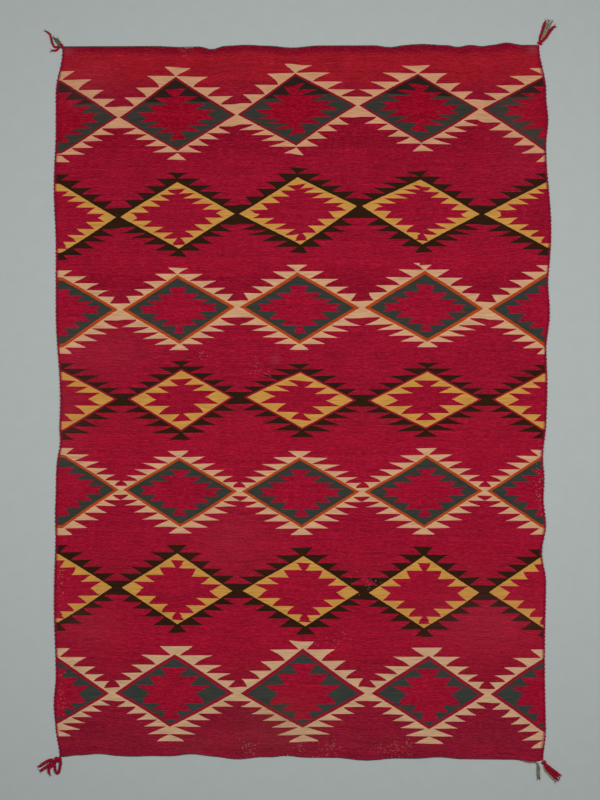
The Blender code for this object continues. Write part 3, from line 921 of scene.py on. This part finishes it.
def weave_relief(tree, place, cloth):
    """The height of a weft-faced weave: a rib over each warp, made of wefts that pass over every other one.

    The real wefts lie about half a millimetre apart; they are drawn coarser, so that they show at all.
    """
    column = add(tree, "ShaderNodeMath", {0: place.outputs["X"], 1: cloth.warp_spacing}, operation="DIVIDE")
    warp = add(tree, "ShaderNodeMath", {0: column}, operation="FLOOR")
    odd = add(tree, "ShaderNodeMath", {0: warp, 1: 2.0}, operation="FLOORED_MODULO")
    rib = add(tree, "ShaderNodeMath", {0: column, 1: 0.5}, operation="PINGPONG")
    weft = add(tree, "ShaderNodeMath", {0: place.outputs["Y"], 1: cloth.weft_spacing}, operation="DIVIDE")
    turn = add(tree, "ShaderNodeMath", {0: odd, 1: 0.5, 2: weft}, operation="MULTIPLY_ADD")
    bead = add(tree, "ShaderNodeMath", {0: turn, 1: 0.5}, operation="PINGPONG")
    beads = add(tree, "ShaderNodeMath", {0: bead, 1: 0.6, 2: 0.4}, operation="MULTIPLY_ADD")
    return add(tree, "ShaderNodeMath", {0: rib, 1: beads}, operation="MULTIPLY")


def pattern_edge(tree, teeth, closing):
    """How far out from a diamond's edge the weft has to lie for the next yarn to start, weft by weft."""
    number = add(tree, "ShaderNodeMath", {0: teeth["x"]}, operation="ABSOLUTE")
    part = add(tree, "ShaderNodeMath", {0: number}, operation="FRACT")
    if closing:
        part = add(tree, "ShaderNodeMath", {0: 1.0, 1: part}, operation="SUBTRACT")
    else:
        part = add(tree, "ShaderNodeMath", {0: part, 1: TOOTH_HOLLOW}, operation="POWER")
    return add(tree, "ShaderNodeMath", {0: part, 1: teeth["z"], 2: teeth["y"]}, operation="MULTIPLY_ADD")


def read_layer(tree, name):
    """The three values of one of the web's layers, by axis."""
    layer = add(tree, "ShaderNodeAttribute", attribute_name=name)
    apart = add(tree, "ShaderNodeSeparateXYZ", {0: layer.outputs["Vector"]})
    return {"x": apart.outputs[0], "y": apart.outputs[1], "z": apart.outputs[2]}


def paint(tree, under, over, mask):
    """One colour laid over another where the mask is 1."""
    mixed = add(tree, "ShaderNodeMix", {0: mask, 6: under, 7: over}, data_type="RGBA")
    return mixed.outputs[2]


def yarn_by_row(tree, position, part, dyes):
    """The colour that one part of the pattern has in each row."""
    names = [getattr(row.yarns, part) for row in ROWS]
    ramp = add(tree, "ShaderNodeValToRGB", {0: position})
    stops = [(index / len(names), linear(dyes[name])) for index, name in enumerate(names)]
    fill_ramp(ramp, stops, "CONSTANT")
    return ramp.outputs[0]


def streak_noise(tree, place, across, along, detail):
    """Noise drawn out along the weft, with this many patches to the metre across and along the cloth."""
    stretched = add(tree, "ShaderNodeVectorMath", {0: place, 1: (across, along, 1.0)}, operation="MULTIPLY")
    return add(tree, "ShaderNodeTexNoise", {0: stretched, "Scale": 1.0, "Detail": detail, "Roughness": 0.6})


def ground_colour(tree, place, along, centre, centre_mask):
    """The crimson ground, with the bands of its dye lots and the streaks of its handspun weft."""
    wave = add(tree, "ShaderNodeTexNoise", {0: place, "Scale": 5.0, "Detail": 2.0})
    waved = add(tree, "ShaderNodeMath", {0: wave, 1: BAND_WAVE, 2: along}, operation="MULTIPLY_ADD")
    length = round(OVERALL_LENGTH / MILLIMETRE)
    lowest = 0.5 - BAND_WAVE / 2 / length
    share = add(tree, "ShaderNodeMath", {0: waved, 1: 1 / length, 2: lowest}, operation="MULTIPLY_ADD")
    lots = add(tree, "ShaderNodeValToRGB", {0: share})
    stops = [(band.y / length + 0.5, linear(GROUND_DYES[band.lot])) for band in BANDS]
    fill_ramp(lots, stops, "LINEAR")
    bobbins = streak_noise(tree, place, 2.2, 95.0, 2.0)
    lighter = add(tree, "ShaderNodeMapRange", {0: bobbins, 1: 0.52, 2: 0.68, 3: 0.0, 4: 0.35})
    darker = add(tree, "ShaderNodeMapRange", {0: bobbins, 1: 0.48, 2: 0.34, 3: 0.0, 4: 0.35})
    colour = paint(tree, lots.outputs[0], centre, centre_mask)
    colour = paint(tree, colour, linear(SHADES["pale_bobbin"]), lighter.outputs[0])
    colour = paint(tree, colour, linear(SHADES["dark_bobbin"]), darker.outputs[0])
    # Handspun yarn is paler where it is spun thin and darker where it is thick, a few wefts at a time.
    slubs = streak_noise(tree, place, 70.0, 400.0, 2.0)
    grain = streak_noise(tree, place, 260.0, 300.0, 1.0)
    spun = add(tree, "ShaderNodeMix", {0: 0.4, 2: slubs, 3: grain})
    thin = add(tree, "ShaderNodeMapRange", {0: spun, 1: 0.5, 2: 0.72, 3: 0.0, 4: 0.6})
    thick = add(tree, "ShaderNodeMapRange", {0: spun, 1: 0.5, 2: 0.28, 3: 0.0, 4: 0.6})
    colour = paint(tree, colour, linear(SHADES["thin_spun"]), thin.outputs[0])
    colour = paint(tree, colour, linear(SHADES["thick_spun"]), thick.outputs[0])
    patches = add(tree, "ShaderNodeTexNoise", {0: place, "Scale": 14.0, "Detail": 3.0})
    patch_shade = add(tree, "ShaderNodeMapRange", {0: patches, 1: 0.3, 2: 0.7, 3: 0.93, 4: 1.07})
    return add(
        tree, "ShaderNodeMix", {0: 1.0, 6: colour, 7: patch_shade}, data_type="RGBA", blend_type="MULTIPLY",
    ).outputs[2]


def web_wool(cloth):
    """Handspun wool, dyed in the yarn, in tapestry weave: each yarn turns back at the edge of its colour."""
    material, tree, shader = wool_material("Handspun wool in tapestry weave", 0.92)
    threads = add(tree, "ShaderNodeAttribute", attribute_name="threads").outputs["Vector"]
    place = add(tree, "ShaderNodeSeparateXYZ", {0: threads})
    chart = read_layer(tree, "chart")
    outer_teeth = read_layer(tree, "outer_teeth")
    inner_teeth = read_layer(tree, "inner_teeth")
    line = read_layer(tree, "line")
    marks = read_layer(tree, "marks")

    from_peak = add(tree, "ShaderNodeMath", {0: chart["x"], 1: 1.0}, operation="PINGPONG")
    rise = add(tree, "ShaderNodeMath", {0: chart["y"]}, operation="ABSOLUTE")
    from_middle = add(tree, "ShaderNodeMath", {0: from_peak, 1: rise}, operation="ADD")
    out = add(
        tree, "ShaderNodeMath", {0: from_middle, 1: HALF_PITCH, 2: -HALF_PITCH}, operation="MULTIPLY_ADD",
    )

    along = add(tree, "ShaderNodeMath", {0: place.outputs["Y"], 1: 1000.0}, operation="MULTIPLY")
    weft = add(tree, "ShaderNodeMath", {0: place.outputs["Y"], 1: cloth.weft_spacing}, operation="DIVIDE")
    pass_number = add(tree, "ShaderNodeMath", {0: weft}, operation="FLOOR")
    uneven = add(tree, "ShaderNodeTexWhiteNoise", {"W": pass_number}, noise_dimensions="1D")
    slow = add(tree, "ShaderNodeTexNoise", {0: threads, "Scale": 22.0, "Detail": 3.0})
    jitter = add(tree, "ShaderNodeMath", {0: uneven, 1: 1.6, 2: -0.8}, operation="MULTIPLY_ADD")
    drift = add(tree, "ShaderNodeMath", {0: slow, 1: 3.0, 2: -1.5}, operation="MULTIPLY_ADD")
    out = add(tree, "ShaderNodeMath", {0: out, 1: jitter}, operation="ADD")
    out = add(tree, "ShaderNodeMath", {0: out, 1: drift}, operation="ADD")

    row = add(tree, "ShaderNodeMath", {0: chart["z"], 1: 0.5}, operation="ADD")
    row = add(tree, "ShaderNodeMath", {0: row, 1: len(ROWS)}, operation="DIVIDE")
    outer_reach = pattern_edge(tree, outer_teeth, False)
    inner_reach = pattern_edge(tree, inner_teeth, True)

    in_teeth = add(tree, "ShaderNodeMath", {0: out, 1: outer_reach}, operation="LESS_THAN")
    # The quads between two rows belong to neither of them.
    between = add(tree, "ShaderNodeMath", {0: chart["z"], 1: 0.5}, operation="PINGPONG")
    of_a_row = add(tree, "ShaderNodeMath", {0: between, 1: 0.01}, operation="LESS_THAN")
    near_row = add(tree, "ShaderNodeMath", {0: line["z"], 1: 0.0}, operation="GREATER_THAN")
    in_row = add(tree, "ShaderNodeMath", {0: near_row, 1: of_a_row}, operation="MULTIPLY")
    outer_mask = add(tree, "ShaderNodeMath", {0: in_teeth, 1: in_row}, operation="MULTIPLY")
    inside = add(tree, "ShaderNodeMath", {0: out, 1: -1.0}, operation="MULTIPLY")
    in_line = add(tree, "ShaderNodeMath", {0: inside, 1: line["x"]}, operation="GREATER_THAN")
    line_mask = add(tree, "ShaderNodeMath", {0: in_line, 1: in_row}, operation="MULTIPLY")
    line_end = add(tree, "ShaderNodeMath", {0: line["x"], 1: line["y"]}, operation="ADD")
    in_inner = add(tree, "ShaderNodeMath", {0: inside, 1: line_end}, operation="GREATER_THAN")
    inner_mask = add(tree, "ShaderNodeMath", {0: in_inner, 1: in_row}, operation="MULTIPLY")
    centre_mask = add(tree, "ShaderNodeMath", {0: inside, 1: inner_reach}, operation="GREATER_THAN")

    centre = yarn_by_row(tree, row, "centre", GROUND_DYES)
    ground = ground_colour(tree, threads, along, centre, centre_mask)
    inner = yarn_by_row(tree, row, "inner", YARNS)
    # The first row's inner yarn turns from grey-green to a near black in the upper part of each diamond.
    high = add(tree, "ShaderNodeMath", {0: chart["y"], 1: BLACK_FROM}, operation="GREATER_THAN")
    first = add(tree, "ShaderNodeMath", {0: row, 1: 1 / len(ROWS)}, operation="LESS_THAN")
    blackened = add(tree, "ShaderNodeMath", {0: high, 1: first}, operation="MULTIPLY")
    inner = paint(tree, inner, linear(YARNS["green_black"]), blackened)
    colour = paint(tree, ground, yarn_by_row(tree, row, "outer", YARNS), outer_mask)
    colour = paint(tree, colour, yarn_by_row(tree, row, "line", YARNS), line_mask)
    colour = paint(tree, colour, inner, inner_mask)
    colour = paint(tree, colour, ground, centre_mask)

    streaks = streak_noise(tree, threads, 18.0, 380.0, 3.0)
    shade = add(tree, "ShaderNodeMapRange", {0: streaks, 1: 0.25, 2: 0.75, 3: 0.68, 4: 1.32})
    colour = add(
        tree, "ShaderNodeMix", {0: 1.0, 6: colour, 7: shade}, data_type="RGBA", blend_type="MULTIPLY",
    ).outputs[2]

    # The last wefts at each side turn round the selvage cord, which darkens them.
    aside = add(tree, "ShaderNodeMath", {0: place.outputs["X"]}, operation="ABSOLUTE")
    starts = WEB_WIDTH / 2 - TURNED_WIDTH
    edge = add(tree, "ShaderNodeMath", {0: slow, 1: TURNED_VARIES, 2: starts}, operation="MULTIPLY_ADD")
    turned = add(tree, "ShaderNodeMath", {0: aside, 1: edge}, operation="GREATER_THAN")
    turned_share = add(tree, "ShaderNodeMath", {0: turned, 1: 0.55}, operation="MULTIPLY")
    colour = paint(tree, colour, linear(SHADES["turned_weft"]), turned_share)

    # Where the weft is rubbed away a warp shows as a pale dot.
    spot = (cloth.warp_spacing, RUB_HEIGHT, 1.0)
    cells = add(tree, "ShaderNodeVectorMath", {0: threads, 1: spot}, operation="DIVIDE")
    cell = add(tree, "ShaderNodeVectorMath", {0: cells}, operation="FLOOR")
    chance = add(tree, "ShaderNodeTexWhiteNoise", {0: cell}, noise_dimensions="2D")
    bare = add(tree, "ShaderNodeMath", {0: marks["x"], 1: 0.4}, operation="MULTIPLY")
    rub_mask = add(tree, "ShaderNodeMath", {0: chance, 1: bare}, operation="LESS_THAN")
    rub_share = add(tree, "ShaderNodeMath", {0: rub_mask, 1: 0.25}, operation="MULTIPLY")
    colour = paint(tree, colour, linear(SHADES["bare_warp"]), rub_share)
    blotch = add(tree, "ShaderNodeTexNoise", {0: threads, "Scale": 40.0, "Detail": 4.0})
    stained = add(tree, "ShaderNodeMath", {0: blotch, 1: marks["y"]}, operation="MULTIPLY")
    colour = paint(tree, colour, linear(SHADES["stain"]), stained.outputs[0])
    # Paled wool along the weft streaks, and a painted highlight at the two top corners where a small ridge of
    # the cloth catches the light.
    faded_and_highlit = add(tree, "ShaderNodeMath", {0: streaks, 1: marks["z"]}, operation="MULTIPLY")
    colour = paint(tree, colour, linear(SHADES["faded_and_highlit"]), faded_and_highlit)
    tree.links.new(colour, shader.inputs["Base Color"])

    height = weave_relief(tree, place, cloth)
    relief = add(tree, "ShaderNodeBump", {"Strength": 0.35, "Distance": 0.0008, "Height": height})
    tree.links.new(relief.outputs[0], shader.inputs["Normal"])
    return material


def cord_wool(name):
    """Plied wool: the colour of each yarn comes with its strand, a little uneven along its fibres."""
    material, tree, shader = wool_material(name, 0.9)
    yarn = add(tree, "ShaderNodeAttribute", attribute_name="yarn")
    object_place = add(tree, "ShaderNodeTexCoord").outputs["Object"]
    mottle = add(tree, "ShaderNodeTexNoise", {0: object_place, "Scale": 180.0, "Detail": 3.0})
    shade = add(tree, "ShaderNodeMapRange", {0: mottle, 1: 0.25, 2: 0.75, 3: 0.72, 4: 1.28})
    shaded = {0: 1.0, 6: yarn.outputs["Color"], 7: shade}
    colour = add(tree, "ShaderNodeMix", shaded, data_type="RGBA", blend_type="MULTIPLY")
    tree.links.new(colour.outputs[2], shader.inputs["Base Color"])
    fuzz = add(tree, "ShaderNodeTexNoise", {0: object_place, "Scale": 900.0, "Detail": 2.0})
    relief = add(tree, "ShaderNodeBump", {"Strength": 0.3, "Distance": 0.0004, "Height": fuzz})
    tree.links.new(relief.outputs[0], shader.inputs["Normal"])
    return material


def weave_web(cloth):
    """The woven sheet, on the solid's ripples and with the creases that it lies in."""
    bm = bmesh.new()
    bmesh.ops.create_grid(bm, x_segments=cloth.steps_across, y_segments=cloth.steps_along, size=1.0)
    for vert in bm.verts:
        u = vert.co.x
        v = vert.co.y
        vert.co = on_web(u, v)
        vert.co.z += spare_height(u, v)
    upper = bmesh.ops.extrude_face_region(bm, geom=bm.faces[:], use_keep_orig=True)["geom"]
    upper_verts = [item for item in upper if isinstance(item, bmesh.types.BMVert)]
    bmesh.ops.translate(bm, vec=(0.0, 0.0, CLOTH_THICKNESS), verts=upper_verts)
    bmesh.ops.recalc_face_normals(bm, faces=bm.faces[:])
    rim = [edge for edge in bm.edges if edge.is_manifold and edge.calc_face_angle() > math.radians(60)]
    turned = [edge for edge in rim if abs(edge.verts[0].co.z - edge.verts[1].co.z) < CLOTH_THICKNESS / 2]
    bmesh.ops.bevel(
        bm, geom=turned, offset=cloth.edge_round, segments=2, profile=0.5, affect="EDGES", material=-1,
    )
    shift = to_frame()
    obj = new_piece("woven_web", bm, web_wool(cloth), "web", shift)
    chart_the_web(obj.data, shift)
    return obj


def lay_yarn(bm, path, radii, tone):
    """Adds one yarn, a closed tube along a path, with its own tone."""
    curve = bpy.data.curves.new("yarn", "CURVE")
    curve.dimensions = "3D"
    curve.bevel_depth = 1.0
    curve.bevel_resolution = 1
    curve.use_fill_caps = True
    spline = curve.splines.new("POLY")
    spline.points.add(len(path) - 1)
    for point, place, radius in zip(spline.points, path, radii):
        point.co = (*place, 1.0)
        point.radius = radius
    obj = bpy.data.objects.new("yarn", curve)
    mesh = bpy.data.meshes.new_from_object(obj)
    first = len(bm.verts)
    bm.from_mesh(mesh)
    bm.verts.ensure_lookup_table()
    layer = bm.verts.layers.float_color["yarn"]
    for vert in bm.verts[first:]:
        vert[layer] = tone
    bpy.data.objects.remove(obj)
    bpy.data.curves.remove(curve)
    bpy.data.meshes.remove(mesh)


def heading(path, index):
    """Which way a path runs at one of its points, seen from above."""
    way = path[min(index + 1, len(path) - 1)] - path[max(index - 1, 0)]
    way.z = 0.0
    return way.normalized()


def even_path(points, step):
    """Places one step apart along a line of straight pieces."""
    lengths = [0.0]
    for before, after in zip(points, points[1:]):
        lengths.append(lengths[-1] + (after - before).length)
    count = max(2, round(lengths[-1] / step))
    walked = [lengths[-1] * number / count for number in range(count + 1)]
    columns = [[point[axis] for point in points] for axis in range(3)]
    return [Vector([float(np.interp(at, lengths, column)) for column in columns]) for at in walked]


def twist(bm, path, radii, plies, lay, tone, seed, contrast=0.15):
    """Lays plies round a path, each a yarn that turns about it once a lay, as uneven as handspun wool."""
    walked = [0.0]
    for before, after in zip(path, path[1:]):
        walked.append(walked[-1] + (after - before).length)
    for ply in range(plies):
        places = []
        widths = []
        for index, (place, radius) in enumerate(zip(path, radii)):
            way = heading(path, index)
            wander = math.sin(walked[index] * 310 + seed) + math.sin(walked[index] * 127 + 2.3 * seed)
            turn = 2 * math.pi * (walked[index] / lay + ply / plies) + 0.5 * wander + seed
            width = radius * PLY_SHARE * (1 + 0.12 * math.sin(walked[index] * 211 + 1.9 * ply + seed))
            aside = radius * (1 - PLY_SHARE) * math.cos(turn)
            height = max(width, radius + radius * (1 - PLY_SHARE) * math.sin(turn))
            places.append(place + Vector((way.y * aside, -way.x * aside, height)))
            widths.append(width)
        shade = 1 + contrast * math.sin(2.7 * ply + seed)
        lay_yarn(bm, places, widths, (tone[0] * shade, tone[1] * shade, tone[2] * shade, 1.0))


def fray(bm, end, way, width, tone, seed):
    """Loose fibres at the end of a strand, spread like a small brush."""
    for number in range(FRAY_FIBRES):
        swing = math.radians(38) * math.sin(2.4 * number + seed)
        length = FRAY_LENGTH * (0.7 + 0.3 * math.sin(1.3 * number + 2 * seed))
        turned = Vector((
            way.x * math.cos(swing) - way.y * math.sin(swing),
            way.x * math.sin(swing) + way.y * math.cos(swing),
            0.0,
        ))
        aside = Vector((way.y, -way.x, 0.0)) * width * 0.3 * math.sin(3.1 * number + seed)
        low = Vector((0.0, 0.0, FIBRE_RADIUS * 1.2))
        start = end - way * 0.004 + aside + low * 3
        places = [start, end + aside + low * 2, end + aside + turned * length + low]
        path = even_path(places, FIBRE_STEP)
        lay_yarn(bm, path, [FIBRE_RADIUS] * len(path), (*tone[:3], 1.0))


def wrap(bm, core, radii, tone, seed):
    """Turns of yarn that are pulled tight round a knot."""
    way = heading(core, 1)
    aside = Vector((way.y, -way.x, 0.0))
    places = []
    steps = WRAP_TURNS * WRAP_STEPS
    for step in range(steps + 1):
        share = 0.25 + 0.5 * step / steps
        index = min(round(share * (len(core) - 1)), len(core) - 1)
        around = 2 * math.pi * step / WRAP_STEPS + seed
        radius = radii[index] + WRAP_YARN * 0.5
        middle = core[0].lerp(core[-1], share)
        height = max(WRAP_YARN, radii[index] + radius * math.sin(around))
        places.append(middle + aside * radius * math.cos(around) + Vector((0.0, 0.0, height)))
    lay_yarn(bm, places, [WRAP_YARN] * len(places), (tone[0] * 1.1, tone[1] * 1.1, tone[2] * 1.1, 1.0))


def smooth_route(points, step):
    """Points about one step apart on a smooth curve through the given ones."""
    points = [Vector((x, y, 0.0)) for x, y in points]
    ends = [2 * points[0] - points[1]] + points + [2 * points[-1] - points[-2]]
    route = [points[0]]
    for before, start, end, after in zip(ends, ends[1:], ends[2:], ends[3:]):
        steps = max(1, round((end - start).length / step))
        for index in range(1, steps + 1):
            t = index / steps
            bend = 2 * before - 5 * start + 4 * end - after
            tight = 3 * start - before - 3 * end + after
            route.append(start + t * (end - before) / 2 + t * t * bend / 2 + t * t * t * tight / 2)
    return route


def beside(edge, distance):
    """The points of an edge, moved outward, which is to the right of the way it runs."""
    moved = []
    for index, point in enumerate(edge):
        way = heading(edge, index)
        moved.append(point + Vector((way.y, -way.x, 0.0)) * distance)
    return moved


def bulge(path, seed):
    """A path that stands out a little wherever the wefts have pushed the cord outward."""
    moved = []
    for index, place in enumerate(path):
        way = heading(path, index)
        walked = index * YARN_STEP
        phase = 2 * math.pi * walked / BULGE_PITCH + 2 * math.sin(walked * 17 + seed)
        out = BULGE * max(0.0, math.sin(phase))
        moved.append(place + Vector((way.y, -way.x, 0.0)) * out)
    return moved


def new_bundle():
    bm = bmesh.new()
    bm.verts.layers.float_color.new("yarn")
    return bm


def make_side_cords(cord):
    """The two selvage cords, each of two thick plies."""
    material = cord_wool("Dark red plied selvage cord")
    shift = to_frame()
    steps = [2 * step / 300 - 1 for step in range(301)]
    for name, node, edge, seed in (
        ("selvage_right", "side_cord_right", [on_web(1.0, v) for v in steps], 0.4),
        ("selvage_left", "side_cord_left", [on_web(-1.0, -v) for v in steps], 2.1),
    ):
        path = even_path(beside(edge, SIDE_CORD / 2 + GAP - CORD_TUCK), YARN_STEP)
        path = bulge(path, seed)
        bm = new_bundle()
        twist(bm, path, [SIDE_CORD / 2 * SIDE_CORD_DRAWN] * len(path), 2, cord.lay, cord.selvage, seed, 0.2)
        new_piece(name, bm, material, node, shift)


def loose_ends(bm, side, tone):
    """Short ends of warp that have worn through the edge and lie over its cord."""
    for number, (end_side, x) in enumerate(LOOSE_ENDS):
        if end_side == side:
            root = on_web(x / (WEB_WIDTH / 2), side)
            lean = 0.0016 * math.sin(2.2 * number)
            places = []
            for out in (0, 0.5, 1):
                height = LOOSE_HEIGHT * (1 - 0.4 * out)
                places.append(root + Vector((lean * out, side * (0.005 * out - 0.002), height)))
            path = even_path(places, LOOSE_STEP)
            lay_yarn(bm, path, [LOOSE_RADIUS] * len(path), (*tone[:3], 1.0))


def make_end_cords(cord):
    """The two end cords, and the free tail that the bottom one ends in."""
    material = cord_wool("Grey-green plied end cord")
    shift = to_frame()
    steps = [2 * step / 240 - 1 for step in range(241)]
    lay = cord.lay * END_LAY
    thick = END_CORD / 2 * END_CORD_DRAWN
    path = even_path(beside([on_web(-u, 1.0) for u in steps], END_CORD / 2 + GAP - CORD_TUCK), YARN_STEP)
    bm = new_bundle()
    twist(bm, path, [thick] * len(path), 2, lay, cord.end_green, 1.0, 0.5)
    loose_ends(bm, 1, cord.warp)
    new_piece("twined_cord_top", bm, material, "end_cord_top", shift)

    held = beside([on_web(u, -1.0) for u in steps if u < TAIL_LEAVES_AT], END_CORD / 2 + GAP - CORD_TUCK)
    tail = smooth_route([held[-1].xy] + [(point.x, point.y) for point in TAIL], YARN_STEP)
    path = even_path(held + tail[1:], YARN_STEP)
    tail_start = len(path) - round(sum((b - a).length for a, b in zip(tail, tail[1:])) / YARN_STEP)
    tail_steps = len(path) - tail_start
    knots = [tail_start] + [tail_start + tail_steps * (n + 1) / len(TAIL) for n in range(len(TAIL))]
    radii = list(np.interp(range(len(path)), knots, [thick] + [point.radius * 1.3 for point in TAIL]))
    bm = new_bundle()
    twist(bm, path[:tail_start + 2], radii[:tail_start + 2], 2, lay, cord.end_green, 3.0, 0.5)
    twist(bm, path[tail_start:], radii[tail_start:], 3, cord.lay * TAIL_LAY, cord.tail, 3.0, 0.25)
    way = heading(path, len(path) - 1)
    fray(bm, path[-1], way, TAIL[-1].radius * 2.6, cord.tail, 1.0)
    loose_ends(bm, -1, cord.warp)
    new_piece("twined_cord_bottom", bm, material, "end_cord_bottom", shift)


def make_tassels(cord):
    """The four corner tassels: a knot wrapped with yarn, and plied strands that lie on the floor."""
    material = cord_wool("Plied wool of the corner tassels")
    shift = to_frame()
    tones = {"red": cord.red, "green": cord.green, "olive": cord.olive}
    for count, (name, tassel) in enumerate(TASSELS.items()):
        side_x, side_y = tassel.corner
        corner = on_web(side_x, side_y)
        end = Vector((*tassel.knot_end, 0.0))
        way = (end - corner).normalized()
        start = Vector((
            corner.x + side_x * (GAP + KNOT_START * abs(way.y)),
            corner.y + side_y * (GAP + KNOT_START * abs(way.x)),
            0.0,
        ))
        bm = new_bundle()
        core = even_path([start, end], YARN_STEP)
        shares = [index / (len(core) - 1) for index in range(len(core))]
        knot_radii = (KNOT_START, tassel.radius * 1.05, tassel.radius * 1.1, tassel.radius * 0.8)
        radii = [radius * KNOT_FULLNESS for radius in np.interp(shares, (0, 0.4, 0.75, 1), knot_radii)]
        twist(bm, core, radii, 3, KNOT_LAY, cord.red, count + 0.5)
        wrap(bm, core, radii, cord.red, count)
        for number, strand in enumerate(tassel.strands):
            points = [tassel.knot_end] + list(strand.route)
            if strand.loop:
                points.append((start.x, start.y))
            path = smooth_route(points, STRAND_STEP)
            walked = 0.0
            for index in range(len(path)):
                if index:
                    walked += (path[index].xy - path[index - 1].xy).length
                path[index].z = tassel.radius * 0.7 * max(0.0, 1 - walked / ROOT_LENGTH) ** 2
            tip = 1.0 if strand.loop else 0.7
            half = strand.width / 2 * STRAND_FULLNESS
            stations = (0, len(path) * 0.8, len(path))
            radii = list(np.interp(range(len(path)), stations, (half, half, half * tip)))
            seed = 3 * count + 1.7 * number
            twist(bm, path, radii, 3, cord.strand_lay, tones[strand.yarn], seed, 0.2)
            if not strand.loop:
                fray(bm, path[-1], heading(path, len(path) - 1), half * 2, tones[strand.yarn], seed)
        new_piece("knotted_" + name, bm, material, "tassel_" + name, shift)


def set_stage(studio):
    """A matt grey floor, soft light from above and the camera straight over the cloth."""
    bm = bmesh.new()
    bmesh.ops.create_grid(bm, x_segments=1, y_segments=1, size=FLOOR_HALF)
    bmesh.ops.translate(bm, vec=(0.0, 0.0, -FLOOR_BELOW), verts=bm.verts[:])
    mesh = bpy.data.meshes.new("studio_floor")
    bm.to_mesh(mesh)
    bm.free()
    material, tree, shader = wool_material("Matt grey studio paper", 0.95)
    object_place = add(tree, "ShaderNodeTexCoord").outputs["Object"]
    grain = add(tree, "ShaderNodeTexNoise", {0: object_place, "Scale": 30.0, "Detail": 4.0})
    shade = add(tree, "ShaderNodeMapRange", {0: grain, 1: 0.3, 2: 0.7, 3: 0.985, 4: 1.015})
    shaded = {0: 1.0, 6: tuple(studio.floor), 7: shade}
    colour = add(tree, "ShaderNodeMix", shaded, data_type="RGBA", blend_type="MULTIPLY")
    tree.links.new(colour.outputs[2], shader.inputs["Base Color"])
    mesh.materials.append(material)
    floor = bpy.data.objects.new("studio_floor", mesh)
    scene = bpy.context.scene
    scene.collection.objects.link(floor)

    for name, width, length, power, place, target in (
        ("softbox_left", 0.7, 1.5, 41.0, (-0.95, 0.15, 2.9), (-0.1, 0.15, 0.0)),
        ("softbox_right", 0.7, 1.5, 49.0, (1.05, 0.15, 2.9), (0.3, 0.15, 0.0)),
        ("softbox_top", 1.4, 0.6, 3.0, (0.3, 2.6, 2.0), (0.0, 0.0, 0.0)),
    ):
        light = bpy.data.lights.new(name, "AREA")
        light.shape = "RECTANGLE"
        light.size = width
        light.size_y = length
        light.energy = power
        lamp = bpy.data.objects.new(name, light)
        lamp.location = place
        lamp.rotation_euler = (Vector(target) - Vector(place)).to_track_quat("-Z", "Y").to_euler()
        scene.collection.objects.link(lamp)
    world = bpy.data.worlds.new("Studio room")
    world.use_nodes = True
    background = world.node_tree.nodes["Background"]
    background.inputs["Color"].default_value = linear("#E8ECEE")
    background.inputs["Strength"].default_value = 0.15
    scene.world = world

    shift = to_frame()
    lens = bpy.data.cameras.new("copy_stand_camera")
    lens.sensor_width = SENSOR
    lens.lens = SENSOR * studio.camera_height / studio.view_height
    camera = bpy.data.objects.new("copy_stand_camera", lens)
    camera.location = (VIEW_CENTRE[0] + shift.x, VIEW_CENTRE[1] + shift.y, studio.camera_height)
    scene.collection.objects.link(camera)
    scene.camera = camera
    scene.view_settings.view_transform = "Standard"


class SERAPE_OT_weave_web(bpy.types.Operator):
    """Weave the web with its pattern and lay it in its creases"""

    bl_idname = "serape.weave_web"
    bl_label = "Weave web"

    def execute(self, context):
        weave_web(context.scene.serape_cloth)
        return {"FINISHED"}


class SERAPE_OT_twist_side_cords(bpy.types.Operator):
    """Twist the two selvage cords along the sides"""

    bl_idname = "serape.twist_side_cords"
    bl_label = "Twist side cords"

    def execute(self, context):
        make_side_cords(context.scene.serape_cords)
        return {"FINISHED"}


class SERAPE_OT_twist_end_cords(bpy.types.Operator):
    """Twist the two end cords, with the free tail of the bottom one"""

    bl_idname = "serape.twist_end_cords"
    bl_label = "Twist end cords"

    def execute(self, context):
        make_end_cords(context.scene.serape_cords)
        return {"FINISHED"}


class SERAPE_OT_knot_tassels(bpy.types.Operator):
    """Knot the four corner tassels"""

    bl_idname = "serape.knot_tassels"
    bl_label = "Knot tassels"

    def execute(self, context):
        make_tassels(context.scene.serape_cords)
        return {"FINISHED"}


class SERAPE_OT_set_stage(bpy.types.Operator):
    """Set the floor, the lights and the camera"""

    bl_idname = "serape.set_stage"
    bl_label = "Set stage"

    def execute(self, context):
        set_stage(context.scene.serape_studio)
        return {"FINISHED"}


OPERATORS = (
    SERAPE_OT_weave_web, SERAPE_OT_twist_side_cords, SERAPE_OT_twist_end_cords, SERAPE_OT_knot_tassels,
    SERAPE_OT_set_stage,
)


class SERAPE_PT_panel(bpy.types.Panel):
    """Lists the steps that make the serape"""

    bl_idname = "SERAPE_PT_panel"
    bl_label = "Serape"
    bl_space_type = "VIEW_3D"
    bl_region_type = "UI"
    bl_category = "Serape"

    def draw(self, context):
        for settings in (context.scene.serape_cloth, context.scene.serape_cords, context.scene.serape_studio):
            for name in settings.__annotations__:
                self.layout.prop(settings, name)
        for operator in OPERATORS:
            self.layout.operator(operator.bl_idname)


SETTINGS = {
    "serape_cloth": SerapeClothSettings,
    "serape_cords": SerapeCordSettings,
    "serape_studio": SerapeStudioSettings,
}
CLASSES = (*SETTINGS.values(), *OPERATORS, SERAPE_PT_panel)


def register():
    for item in CLASSES:
        bpy.utils.register_class(item)
    for name, group in SETTINGS.items():
        setattr(bpy.types.Scene, name, PointerProperty(type=group))


def unregister():
    for name in SETTINGS:
        delattr(bpy.types.Scene, name)
    for item in reversed(CLASSES):
        bpy.utils.unregister_class(item)


def main():
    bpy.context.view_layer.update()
    register()
    bpy.ops.serape.weave_web()
    bpy.ops.serape.twist_side_cords()
    bpy.ops.serape.twist_end_cords()
    bpy.ops.serape.knot_tassels()
    bpy.ops.serape.set_stage()


if __name__ == "__main__":
    main()
